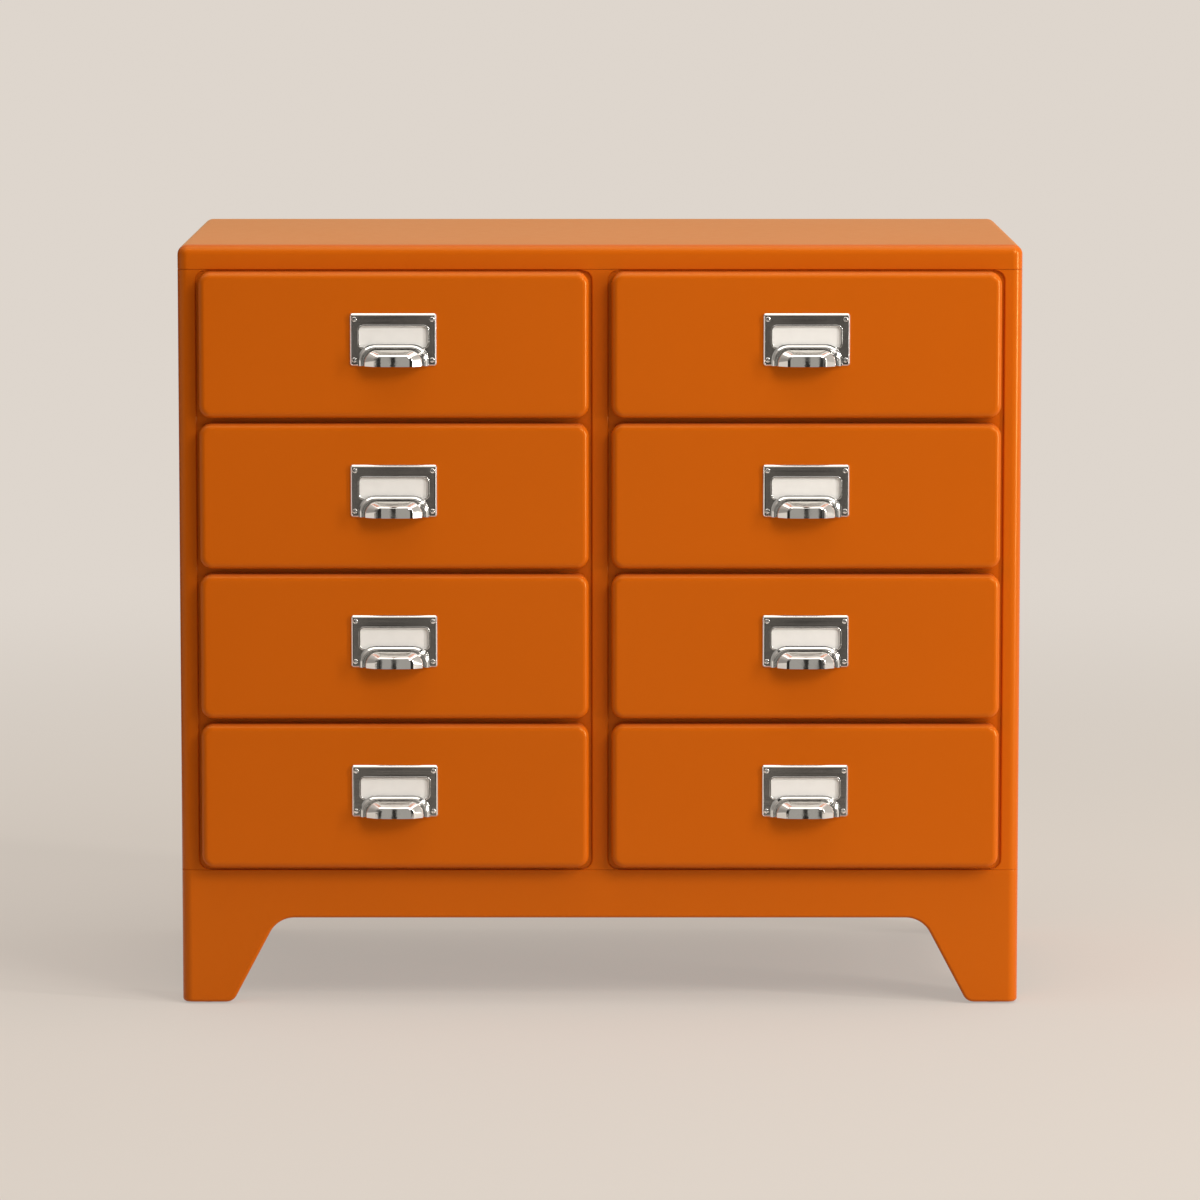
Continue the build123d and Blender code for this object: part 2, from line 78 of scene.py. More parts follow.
# Screws: shares of the radius and the height of a head, then radius and place along a shank in metres
HEAD_PROFILE = ((0.86, 0.0), (1.0, 0.12), (1.0, 0.32), (0.93, 0.6), (0.75, 0.82), (0.45, 0.96), (0.12, 1.0))
SHANK_PROFILE = ((0.0018, -0.00045), (0.0018, 0.0), (0.0012, 0.0), (0.0012, 0.0068), (0.0006, 0.0070))

# Tints of the dust, the white studio cards and the lamps
DUST_TINT = (0.62, 0.56, 0.50)
CARD_WHITE = (1.0, 0.97, 0.92)
LAMP_WARM = (1.0, 0.97, 0.93)
LAMP_WHITE = (1.0, 0.99, 0.97)

# Places of the studio's boards and cards in metres, in the frame of the cabinet
DARK_Y, GREY_Y, FOOT_Y = -1.42, -1.4, -1.0
BOARD_TOP, DARK_HALF = 0.66, 1.6
GREY_SPANS = ((-0.44, -0.265), (-0.18, 0.18), (0.265, 0.44))
SIDE_X, SIDE_SPAN, SIDE_TOP = -1.3, (0.1, 5.0), 1.2
CEILING_HALF, CEILING_Z = 2.2, 2.7
CEILING_FRONT, CEILING_MIDDLE, CEILING_BACK = -3.9, -1.8, 0.3
TALL_CARD = ((4.1, -2.25), (4.4, -1.59))
TALL_CARD_TOP = 2.5
FLOOR_HALF = 120


def length(name, description, default):
    """Property for a length in metres."""
    return FloatProperty(
        name=name, description=description, default=default, min=0.0, precision=4, unit="LENGTH"
    )


def colour(name, description, default):
    """Property for a colour."""
    return FloatVectorProperty(
        name=name, description=description, default=default, size=3, min=0.0, max=1.0, subtype="COLOR"
    )


def number(name, description, default):
    """Property for a plain number."""
    return FloatProperty(name=name, description=description, default=default, min=0.0)


class CabinetSizes(bpy.types.PropertyGroup):
    """Sizes of the folded and pressed sheets"""

    sheet: length("Sheet", "Thickness of the body's sheet", 0.0012)
    corner_radius: length("Corner radius", "Round of the upright corners of the body", 0.0095)
    bend_radius: length("Bend radius", "Outer round of the folds beside the drawers", 0.0016)
    lid_edge_radius: length("Lid edge radius", "Round of the upper edge of the lid", 0.009)
    lid_return: length("Lid return", "Width of the lid's turned-in edge", 0.020)
    seam_radius: length("Seam radius", "Round of the edges along the seams", 0.0010)
    post_width: length("Post width", "Width of the posts beside the drawers", 0.0165)
    post_return: length("Post return", "Depth of the folds beside the drawers", 0.012)
    stop_lip: length("Stop lip", "Width of the sunk lip round the drawers", 0.003)
    lip_recess: length("Lip recess", "How far the lip lies behind the posts", 0.002)
    rail_overlap: length("Rail overlap", "How far a rail reaches behind the drawer fronts", 0.0035)
    rear_flange: length("Rear flange", "Width of the flanges behind the back panel", 0.022)
    opening_radius: length("Opening radius", "Round of the corners of the drawer openings", 0.009)
    front_corner_radius: length("Front corner radius", "Round of the corners of a drawer front", 0.011)
    front_edge_radius: length("Front edge radius", "Round of the pillow edge of a drawer front", 0.006)
    front_return: length("Front return", "Width of the turned-in rear edge of a drawer front", 0.012)
    base_sheet: length("Base sheet", "Thickness of the base's sheet", 0.0015)
    base_return: length("Base return", "Width of the turned-in edges of the base", 0.020)
    base_bend: length("Base bend", "Outer round of the lower edge of the base", 0.0028)
    apron_height: length("Apron height", "Height of the apron between the legs", 0.044)
    foot_width: length("Foot width", "Width of a foot on the floor", 0.0455)
    leg_angle: FloatProperty(
        name="Leg angle", description="Splay of the legs", default=math.radians(27.9), subtype="ANGLE"
    )
    leg_top_radius: length("Leg top radius", "Round where a leg meets the apron", 0.025)
    toe_radius: length("Toe radius", "Round of the inner end of a foot", 0.010)
    box_sheet: length("Box sheet", "Thickness of the sheet of a drawer box", 0.001)
    hem_height: length("Hem height", "Height of the hemmed rim of a drawer box", 0.008)
    hem_thickness: length("Hem thickness", "Thickness of the hemmed rim of a drawer box", 0.0024)


class PullSizes(bpy.types.PropertyGroup):
    """Sizes of the label plate, the cup and the screws of a pull"""

    plate_corner_radius: length("Plate corner radius", "Round of the corners of the plate", 0.0022)
    plate_bead: length("Plate bead", "Width of the rolled rim of the plate", 0.0019)
    plate_sunk: length("Plate sunk", "How far the face lies behind its rim", 0.00035)
    plate_sheet: length("Plate sheet", "Thickness of the plate's sheet", 0.0008)
    plate_rim: length("Plate rim", "Thickness of the plate's rim", 0.0012)
    window_side: length("Window side", "Width of the plate beside the window", 0.0066)
    window_drop: length("Window drop", "Width of the plate above the window", 0.0102)
    window_height: length("Window height", "Height of the window", 0.021)
    window_radius: length("Window radius", "Round of the corners of the window", 0.003)
    window_bead: length("Window bead", "Width of the rolled edge of the window", 0.0017)
    bead_width: length("Bead width", "Width of the rolled bead on the flange of the cup", 0.0036)
    bead_height: length("Bead height", "Height of the rolled bead on the flange of the cup", 0.0024)
    flange_edge: length("Flange edge", "Width of the flat line outside the bead", 0.0011)
    cup_rim: length("Cup rim", "Width of the flange beside the cup", 0.0045)
    cup_corner_radius: length("Cup corner radius", "Round of the cup's shoulders, from the front", 0.0125)
    cup_face_inset: length("Cup face inset", "From the side of the hood to its face", 0.0126)
    cup_foot_height: length("Cup foot height", "Height of the steep foot of the hood", 0.005)
    cup_foot_inset: length("Cup foot inset", "Lean of the steep foot of the hood", 0.0014)
    cup_bulge: length("Cup bulge", "How far the face of the hood bulges out", 0.0008)
    cup_top_share: number("Cup top share", "Slope of the top of the hood as a share of its sides", 0.47)
    cup_wall: length("Cup wall", "Thickness of the cup", 0.0012)
    screw_inset_x: length("Screw inset across", "From the side of the plate to a screw", 0.0038)
    screw_inset_z: length("Screw inset up", "From the top or bottom of the plate to a screw", 0.0052)
    screw_radius: length("Screw radius", "Radius of a screw head", 0.00225)
    screw_height: length("Screw height", "Height of a screw head", 0.0012)
    slot_width: length("Slot width", "Width of the slot in a screw head", 0.0006)


class CabinetColours(bpy.types.PropertyGroup):
    """Colours of the finishes"""

    paint: colour("Paint", "Colour of the paint", (0.560, 0.108, 0.0030))
    sheen: colour("Sheen", "Tint of the paint's gloss", (1.0, 0.78, 0.25))
    chrome: colour("Chrome", "Colour of the cups and screws", (0.90, 0.885, 0.86))
    # Tone of the plates' face, kept darker than the chrome of their rims as painted shade
    plate: colour("Plate", "Colour of the label plates", (0.40, 0.375, 0.35))
    card: colour("Card", "Colour of the label cards", (0.82, 0.815, 0.795))
    zinc: colour("Zinc", "Colour of the runners and bolts", (0.55, 0.56, 0.57))
    nylon: colour("Nylon", "Colour of the glides", (0.018, 0.017, 0.016))
    floor: colour("Floor", "Colour of the floor", (0.60, 0.55, 0.50))
    backdrop: colour("Backdrop", "Colour of the studio backdrop", (0.73, 0.67, 0.61))
    wall: colour("Wall", "Colour of the low studio wall behind the cabinet", (0.81, 0.72, 0.36))
    shade: colour("Shade", "Colour of the dark boards and walls of the studio", (0.06, 0.055, 0.05))
    grey: colour("Grey", "Colour of the grey boards of the studio", (0.36, 0.345, 0.32))


class StudioSettings(bpy.types.PropertyGroup):
    """Camera and lamps"""

    camera_distance: length("Camera distance", "From the front of the body to the camera", 5.625)
    camera_height: length("Camera height", "From the floor to the camera", 1.037)
    camera_pitch: FloatProperty(
        name="Camera pitch",
        description="Downward tilt of the camera",
        default=math.radians(6.81),
        subtype="ANGLE",
    )
    lens: number("Lens", "Focal length of the camera in millimetres", 190.6)
    key_power: number("Key power", "Power of the soft lamp at the upper right, in watts", 108.0)
    strip_power: number("Strip power", "Power of the tall lamp at the right, in watts", 135.0)
    top_power: number("Top power", "Power of the soft lamp overhead, in watts", 30.0)
    world_strength: number("World strength", "Level of the light from the studio walls", 0.75)
    near_share: number("Near share", "Share of the floor's own light close to the cabinet", 0.55)


def rounded_loop(width, height, radius, steps=8):
    """Points of a rounded rectangle round the origin, anticlockwise, always the same number of them."""
    radius = max(min(radius, width / 2 - 1e-6, height / 2 - 1e-6), 2e-5)
    points = []
    for turn, (side, end) in enumerate(((1, 1), (-1, 1), (-1, -1), (1, -1))):
        for step in range(steps + 1):
            angle = (turn + step / steps) * QUARTER
            x = side * (width / 2 - radius) + radius * math.cos(angle)
            y = end * (height / 2 - radius) + radius * math.sin(angle)
            points.append((x, y))
    return points


def quarter_round(radius, steps):
    """Inset and depth along a round edge, from the side wall to the face."""
    for step in range(steps + 1):
        angle = step / steps * QUARTER
        yield radius * (1 - math.cos(angle)), radius * (1 - math.sin(angle))


def circle(radius, steps):
    """Points of a circle round the origin."""
    angles = [step / steps * math.tau for step in range(steps)]
    return [(radius * math.cos(angle), radius * math.sin(angle)) for angle in angles]


def pan_profile(depth, sheet, edge, seam, turn, rings, inner_steps):
    """Inset and depth below the face of a pressed pan, from its face round to its inside.

    The rings lie on the flat face beside the round edge and keep its shading even.
    """
    near, far = (edge + ring for ring in rings)
    profile = [(far, 0.0), (near, 0.0)]
    profile += list(quarter_round(edge, 10))[::-1]
    profile += [(inset, depth - drop) for inset, drop in quarter_round(seam, 3)]
    profile += [(turn, depth), (turn, depth - sheet), (sheet, depth - sheet)]
    profile += [(sheet + inset, sheet + drop) for inset, drop in quarter_round(edge - sheet, inner_steps)]
    return profile + [(far, sheet)]


def loft(bm, loops, closed=True, joined=False, caps=(False, False)):
    """Skin a row of loops with quads; joined runs the last loop back to the first."""
    rows = [[bm.verts.new(point) for point in loop] for loop in loops]
    count = len(rows[0])
    pairs = list(zip(rows, rows[1:]))
    if joined:
        pairs.append((rows[-1], rows[0]))
    for lower, upper in pairs:
        for i in range(count if closed else count - 1):
            j = (i + 1) % count
            bm.faces.new((lower[i], lower[j], upper[j], upper[i]))
    if caps[0]:
        bm.faces.new(rows[0][::-1])
    if caps[1]:
        bm.faces.new(rows[-1])
    return rows


def box_at(bm, low, high, bevel=0.0):
    """Closed block between two corners, with its edges broken by a small bevel."""
    centre = (Vector(low) + Vector(high)) / 2
    size = Vector(high) - Vector(low)
    matrix = Matrix.Translation(centre) @ Matrix.Diagonal((*size, 1))
    made = bmesh.ops.create_cube(bm, size=1.0, matrix=matrix)
    if bevel:
        edges = list({edge for vert in made["verts"] for edge in vert.link_edges})
        bmesh.ops.bevel(bm, geom=edges, offset=bevel, segments=2, profile=0.5, affect="EDGES")


def finish_mesh(bm, name, material, sharp_angle=35.0):
    """Turn a bmesh into smooth-shaded mesh data with crisp folds."""
    bmesh.ops.remove_doubles(bm, verts=bm.verts, dist=2e-6)
    bmesh.ops.dissolve_degenerate(bm, edges=bm.edges, dist=2e-6)
    bmesh.ops.recalc_face_normals(bm, faces=bm.faces)
    mesh = bpy.data.meshes.new(name)
    bm.to_mesh(mesh)
    bm.free()
    mesh.shade_smooth()
    mesh.set_sharp_from_angle(angle=math.radians(sharp_angle))
    mesh.materials.append(material)
    return mesh


def add_piece(name, mesh, body, slot, *nodes):
    """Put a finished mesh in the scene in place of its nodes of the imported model."""
    piece = bpy.data.objects.new(name, mesh)
    bpy.context.scene.collection.objects.link(piece)
    shading = piece.modifiers.new("Even shading", "WEIGHTED_NORMAL")
    shading.keep_sharp = True
    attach(piece, body)
    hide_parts(*nodes)


def add_drawer_pieces(kind, name, mesh, slot):
    """Place a copy of one mesh at each drawer; it was drawn round the middle of its node's box."""
    for side in SIDES:
        for row in ROWS:
            tag = f"{side}_{row}"
            low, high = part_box(f"{kind}_{tag}")
            copy = mesh.copy()
            copy.transform(Matrix.Translation((low + high) / 2))
            add_piece(f"{name}_{tag}", copy, f"drawer_{tag}", slot, f"{kind}_{tag}")
    bpy.data.meshes.remove(mesh)


def node_size(node):
    """Width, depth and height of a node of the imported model."""
    low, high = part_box(node)
    return high - low


def new_group(name, inputs, outputs):
    """Empty shader node group with named sockets, and its two ends."""
    group = bpy.data.node_groups.new(name, "ShaderNodeTree")
    for kind, socket, default in inputs:
        made = group.interface.new_socket(socket, in_out="INPUT", socket_type=f"NodeSocket{kind}")
        if default is not None:
            made.default_value = default
    for kind, socket in outputs:
        group.interface.new_socket(socket, in_out="OUTPUT", socket_type=f"NodeSocket{kind}")
    return group, group.nodes.new("NodeGroupInput"), group.nodes.new("NodeGroupOutput")


def feed(tree, socket, value):
    """Link a socket into another one, or set a plain value on it."""
    if isinstance(value, bpy.types.NodeSocket):
        tree.links.new(value, socket)
    else:
        socket.default_value = value


def opaque(tint):
    """Colour with full cover, as the sockets take it."""
    return (*tint, 1.0)


def maths(tree, operation, first, second):
    """Math node; each value is a socket or a number."""
    node = tree.nodes.new("ShaderNodeMath")
    node.operation = operation
    for socket, value in zip(node.inputs, (first, second)):
        feed(tree, socket, value)
    return node.outputs[0]


def noise(tree, position, scale, detail, roughness=0.5, stretch=None):
    """Noise over a position; stretch scales the axes before it is read."""
    if stretch:
        mapping = tree.nodes.new("ShaderNodeMapping")
        mapping.inputs["Scale"].default_value = stretch
        tree.links.new(position, mapping.inputs["Vector"])
        position = mapping.outputs["Vector"]
    node = tree.nodes.new("ShaderNodeTexNoise")
    node.inputs["Detail"].default_value = detail
    node.inputs["Roughness"].default_value = roughness
    tree.links.new(position, node.inputs["Vector"])
    feed(tree, node.inputs["Scale"], scale)
    return node.outputs["Fac"]


def spread(tree, value, low, high, out_low=0.0, out_high=1.0):
    """Smooth map of a value from one range to another."""
    node = tree.nodes.new("ShaderNodeMapRange")
    node.interpolation_type = "SMOOTHSTEP"
    tree.links.new(value, node.inputs["Value"])
    ends = zip(("From Min", "From Max", "To Min", "To Max"), (low, high, out_low, out_high))
    for socket, end in ends:
        feed(tree, node.inputs[socket], end)
    return node.outputs["Result"]


def blend(tree, factor, first, second):
    """Mix of two colours by a factor; each is a socket or a plain value."""
    node = tree.nodes.new("ShaderNodeMix")
    node.data_type = "RGBA"
    for socket, value in (("Factor", factor), ("A", first), ("B", second)):
        feed(tree, node.inputs[socket], value)
    return node.outputs["Result"]


def split_parts(tree, vector):
    """Parts of a vector along X, Y and Z."""
    split = tree.nodes.new("ShaderNodeSeparateXYZ")
    tree.links.new(vector, split.inputs[0])
    return split.outputs


def surface_parts(tree):
    """Parts of the direction that the surface faces."""
    return split_parts(tree, tree.nodes.new("ShaderNodeNewGeometry").outputs["Normal"])


def tone_drift_group():
    """Slow drift of tone over a finish: a colour that turns a little lighter and darker."""
    group, inside, outside = new_group(
        "Tone drift",
        (
            ("Vector", "Position", None),
            ("Color", "Colour", None),
            ("Float", "Scale", 6.0),
            ("Float", "Amount", 0.05),
        ),
        (("Color", "Colour"), ("Float", "Mask")),
    )
    mask = noise(group, inside.outputs["Position"], inside.outputs["Scale"], 4.0)
    swing = maths(group, "MULTIPLY", maths(group, "SUBTRACT", mask, 0.5), inside.outputs["Amount"])
    level = maths(group, "ADD", 1.0, maths(group, "MULTIPLY", swing, 2.0))
    shade = group.nodes.new("ShaderNodeVectorMath")
    shade.operation = "SCALE"
    group.links.new(inside.outputs["Colour"], shade.inputs[0])
    group.links.new(level, shade.inputs["Scale"])
    group.links.new(shade.outputs["Vector"], outside.inputs["Colour"])
    group.links.new(mask, outside.inputs["Mask"])
    return group


def grain_group():
    """Fine grain: a height and a value for the roughness, at a given size."""
    group, inside, outside = new_group(
        "Fine grain",
        (
            ("Vector", "Position", None),
            ("Float", "Scale", 700.0),
            ("Float", "Low", 0.3),
            ("Float", "High", 0.4),
        ),
        (("Float", "Height"), ("Float", "Roughness")),
    )
    place, scale = inside.outputs["Position"], inside.outputs["Scale"]
    fine = noise(group, place, scale, 2.0)
    coarse = noise(group, place, maths(group, "MULTIPLY", scale, 0.13), 3.0)
    height = maths(group, "ADD", maths(group, "MULTIPLY", fine, 0.88), maths(group, "MULTIPLY", coarse, 0.12))
    rough = spread(group, coarse, 0.3, 0.7, inside.outputs["Low"], inside.outputs["High"])
    group.links.new(height, outside.inputs["Height"])
    group.links.new(rough, outside.inputs["Roughness"])
    return group


def dust_group():
    """Thin film of dust on surfaces that face up, broken by soft patches."""
    group, inside, outside = new_group(
        "Dust film",
        (("Vector", "Position", None), ("Color", "Colour", None), ("Float", "Amount", 0.1)),
        (("Color", "Colour"), ("Float", "Facing")),
    )
    facing = spread(group, surface_parts(group)["Z"], 0.55, 0.98)
    patches = spread(group, noise(group, inside.outputs["Position"], 9.0, 5.0), 0.25, 0.75, 0.45, 1.0)
    mask = maths(group, "MULTIPLY", maths(group, "MULTIPLY", facing, patches), inside.outputs["Amount"])
    dusty = blend(group, mask, inside.outputs["Colour"], opaque(DUST_TINT))
    group.links.new(dusty, outside.inputs["Colour"])
    group.links.new(facing, outside.inputs["Facing"])
    return group


def shared(name, build):
    """Shader node group that is built on its first use."""
    return bpy.data.node_groups.get(name) or build()


def place_group(tree, group, **values):
    """Group node with its values set or linked."""
    node = tree.nodes.new("ShaderNodeGroup")
    node.node_tree = group
    for name, value in values.items():
        feed(tree, node.inputs[name], value)
    return node.outputs


def add_drift(tree, place, tint, scale, amount):
    """Slow drift of tone over a finish."""
    group = shared("Tone drift", tone_drift_group)
    return place_group(tree, group, Position=place, Colour=opaque(tint), Scale=scale, Amount=amount)


def add_grain(tree, place, scale, low, high):
    """Fine grain of a finish, with the ends of its roughness."""
    group = shared("Fine grain", grain_group)
    return place_group(tree, group, Position=place, Scale=scale, Low=low, High=high)


def start_material(name):
    """New material with its node tree, its shader and the position on the piece."""
    material = bpy.data.materials.new(name)
    material.use_nodes = True
    tree = material.node_tree
    shader = tree.nodes["Principled BSDF"]
    place = tree.nodes.new("ShaderNodeTexCoord").outputs["Object"]
    return material, tree, shader, place


def dress(tree, shader, tone, rough):
    """Lead a tone and a roughness into the shader."""
    tree.links.new(tone, shader.inputs["Base Color"])
    tree.links.new(rough, shader.inputs["Roughness"])


def add_bump(tree, shader, height, strength, distance):
    """Bump of a height into the shader's normal."""
    bump = tree.nodes.new("ShaderNodeBump")
    bump.inputs["Strength"].default_value = strength
    bump.inputs["Distance"].default_value = distance
    tree.links.new(height, bump.inputs["Height"])
    tree.links.new(bump.outputs["Normal"], shader.inputs["Normal"])


def paint_material():
    """Orange powder coat: soft gloss, fine orange peel, a slow drift of tone and a trace of dust on top."""
    ready = bpy.data.materials.get("orange powder coat")
    if ready:
        return ready
    material, tree, shader, place = start_material("orange powder coat")
    colours = bpy.context.scene.cabinet_colours
    drift = add_drift(tree, place, colours.paint, scale=5.0, amount=0.035)
    film = shared("Dust film", dust_group)
    dust = place_group(tree, film, Position=place, Colour=drift["Colour"], Amount=0.03)
    grain = add_grain(tree, place, scale=620.0, low=0.205, high=0.225)
    dulled = maths(tree, "MULTIPLY", dust["Facing"], 0.085)
    dress(tree, shader, dust["Colour"], maths(tree, "ADD", grain["Roughness"], dulled))
    add_bump(tree, shader, grain["Height"], strength=0.006, distance=0.0003)
    shader.inputs["Specular IOR Level"].default_value = 0.32
    shader.inputs["Specular Tint"].default_value = opaque(colours.sheen)
    return material


def chrome_material():
    """Polished chrome with faint smudges."""
    ready = bpy.data.materials.get("polished chrome")
    if ready:
        return ready
    material, tree, shader, place = start_material("polished chrome")
    shader.inputs["Metallic"].default_value = 1.0
    drift = add_drift(tree, place, bpy.context.scene.cabinet_colours.chrome, scale=60.0, amount=0.05)
    grain = add_grain(tree, place, scale=900.0, low=0.035, high=0.11)
    dress(tree, shader, drift["Colour"], grain["Roughness"])
    add_bump(tree, shader, drift["Mask"], strength=0.10, distance=0.0006)
    return material


def plate_material():
    """Plated sheet of the label plates: a dull brushed face between polished rims, the face painted darker as
    painted shade and the rims brighter as painted highlight, by which way each faces.
    """
    material, tree, shader, place = start_material("brushed label plate")
    shader.inputs["Metallic"].default_value = 1.0
    colours = bpy.context.scene.cabinet_colours
    drift = add_drift(tree, place, colours.plate, scale=45.0, amount=0.16)
    lines = noise(tree, place, 260.0, 3.0, roughness=0.6, stretch=(0.05, 1.0, 4.0))
    # Mask of the front-facing face: the face takes the dark plate tone as painted shade, the rims the bright
    # chrome tone as painted highlight; the brushed roughness is the real finish
    flat = spread(tree, maths(tree, "ABSOLUTE", surface_parts(tree)["Y"], 0.0), 0.93, 0.995)
    tone = blend(tree, flat, opaque(colours.chrome), drift["Colour"])
    brushed = spread(tree, lines, 0.3, 0.7, 0.13, 0.22)
    rough = maths(tree, "MAXIMUM", maths(tree, "MULTIPLY", brushed, flat), 0.12)
    dress(tree, shader, tone, rough)
    height = maths(tree, "ADD", maths(tree, "MULTIPLY", lines, 0.06), drift["Mask"])
    add_bump(tree, shader, height, strength=0.16, distance=0.0008)
    return material


def card_material():
    """Uncoated card with a fibrous tooth."""
    material, tree, shader, place = start_material("label card stock")
    drift = add_drift(tree, place, bpy.context.scene.cabinet_colours.card, scale=90.0, amount=0.05)
    grain = add_grain(tree, place, scale=2600.0, low=0.72, high=0.9)
    dress(tree, shader, drift["Colour"], grain["Roughness"])
    add_bump(tree, shader, grain["Height"], strength=0.25, distance=0.0002)
    return material


def zinc_material():
    """Zinc-plated steel with a faint spangle."""
    material, tree, shader, place = start_material("zinc plated steel")
    shader.inputs["Metallic"].default_value = 1.0
    spangle = tree.nodes.new("ShaderNodeTexVoronoi")
    spangle.inputs["Scale"].default_value = 140.0
    tree.links.new(place, spangle.inputs["Vector"])
    flake = tree.nodes.new("ShaderNodeSeparateColor")
    tree.links.new(spangle.outputs["Color"], flake.inputs[0])
    drift = add_drift(tree, place, bpy.context.scene.cabinet_colours.zinc, scale=25.0, amount=0.12)
    dress(tree, shader, drift["Colour"], spread(tree, flake.outputs["Red"], 0.0, 1.0, 0.27, 0.42))
    add_bump(tree, shader, drift["Mask"], strength=0.15, distance=0.0006)
    return material


def nylon_material():
    """Moulded nylon with a matt grain."""
    material, tree, shader, place = start_material("moulded nylon")
    drift = add_drift(tree, place, bpy.context.scene.cabinet_colours.nylon, scale=80.0, amount=0.25)
    grain = add_grain(tree, place, scale=1500.0, low=0.45, high=0.65)
    dress(tree, shader, drift["Colour"], grain["Roughness"])
    add_bump(tree, shader, grain["Height"], strength=0.3, distance=0.0003)
    return material


def add_painted(name, bm, node):
    """Put a painted sheet of the carcass in the scene, in place of one node."""
    add_piece(name, finish_mesh(bm, name, paint_material()), "carcass", "orange_paint", node)


class CABINET_OT_lid(bpy.types.Operator):
    """Press the lid: a pan with a rounded upper edge and a turned-in lower edge"""

    bl_idname = "cabinet.lid"
    bl_label = "Lid"

    def execute(self, context):
        sizes = context.scene.cabinet_sizes
        low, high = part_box("top_lid")
        width, depth, height = high - low
        profile = pan_profile(
            height,
            sizes.sheet,
            sizes.lid_edge_radius,
            sizes.seam_radius,
            sizes.lid_return,
            rings=(0.006, 0.02),
            inner_steps=6,
        )
        centre = (low + high) / 2
        loops = []
        for inset, drop in profile:
            loop = rounded_loop(width - 2 * inset, depth - 2 * inset, sizes.corner_radius - inset)
            loops.append([(centre.x + x, centre.y + y, high.z - drop) for x, y in loop])
        bm = bmesh.new()
        loft(bm, loops, caps=(True, True))
        add_painted("pressed_lid", bm, "top_lid")
        return {"FINISHED"}


def opening_levels(low_z, high_z, radius, steps=8):
    """Heights along a drawer opening, and how far its round corners reach in at each."""
    tip = 0.0005
    levels = [(low_z, radius)]
    for step in range(steps + 1):
        angle = step / steps * QUARTER
        levels.append((low_z + tip + radius * (1 - math.cos(angle)), radius * (1 - math.sin(angle))))
    middle = (low_z + high_z) / 2
    return levels + [(2 * middle - z, reach) for z, reach in reversed(levels)]


def rounded_path(points, radii, steps=6):
    """Path through points in a plane, with a round of its own radius at each inner corner."""
    path = [Vector(points[0])]
    for before, corner, after, radius in zip(points, points[1:], points[2:], radii):
        corner = Vector(corner)
        back = (Vector(before) - corner).normalized()
        onward = (Vector(after) - corner).normalized()
        half = back.angle(onward) / 2
        centre = corner + (back + onward).normalized() * radius / math.sin(half)
        first = corner + back * radius / math.tan(half) - centre
        last = corner + onward * radius / math.tan(half) - centre
        path += [centre + first.slerp(last, step / steps) * radius for step in range(steps + 1)]
    return path + [Vector(points[-1])]


def strip_sheet(bm, outer_rows, inner_rows):
    """Closed sheet between rows of points on its outer and inner side."""
    loops = [outer + inner[::-1] for outer, inner in zip(outer_rows, inner_rows)]
    rows = loft(bm, loops)
    count = len(outer_rows[0])
    for row in (rows[0], rows[-1]):
        for i in range(count - 1):
            bm.faces.new((row[i], row[i + 1], row[-2 - i], row[-1 - i]))


def fold_sheet(low, high, radius, plan):
    """Sheet beside the drawer openings, from the plan of its outer and inner side at each height."""
    bm = bmesh.new()
    levels = opening_levels(low.z, high.z, radius)
    sides = []
    for inner in (False, True):
        sides.append([[(x, low.y + y, z) for x, y in plan(reach, inner)] for z, reach in levels])
    strip_sheet(bm, *sides)
    return bm


class CABINET_OT_side_panels(bpy.types.Operator):
    """Fold the side panels: fold beside the drawers, post, side wall and rear flange from one sheet"""

    bl_idname = "cabinet.side_panels"
    bl_label = "Side Panels"

    def section(self, sizes, width, depth, edge, reach, inner):
        """Plan of one side of the sheet, from the lip beside the drawers round to the rear flange."""
        skin = sizes.sheet if inner else 0.0
        lip = edge - sizes.stop_lip + skin
        front = max(edge - reach + skin, lip) if inner else edge - reach
        points = [
            (front, sizes.lip_recess + skin),
            (front, skin),
            (width - skin, skin),
            (width - skin, depth - skin),
            (width - sizes.rear_flange, depth - skin),
        ]
        bend = max(sizes.bend_radius - skin, LEAST_BEND)
        corner = sizes.corner_radius - skin
        start = [Vector((lip, sizes.post_return)), Vector((lip, sizes.lip_recess + skin))]
        return start + rounded_path(points, (bend, corner, corner), 8)

    def execute(self, context):
        sizes = context.scene.cabinet_sizes
        for side, sign in zip(SIDES, (-1, 1)):
            low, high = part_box(f"{side}_side_panel")
            outer_x = high.x if sign > 0 else -low.x
            edge = outer_x - sizes.post_width

            def plan(reach, inner):
                """Plan of one side of the sheet, turned to its own side of the body."""
                section = self.section(sizes, outer_x, high.y - low.y, edge, reach, inner)
                return [(sign * x, y) for x, y in section]

            bm = fold_sheet(low, high, sizes.opening_radius, plan)
            flange, side_gap, end_gap = 0.020, 0.0007, 0.0295
            xs = sorted(sign * (outer_x - inset) for inset in (flange, side_gap))
            box_at(
                bm,
                (xs[0], low.y + end_gap, high.z - sizes.sheet),
                (xs[1], high.y - end_gap, high.z - HAIR),
            )
            add_painted(f"folded_{side}_side", bm, f"{side}_side_panel")
        return {"FINISHED"}


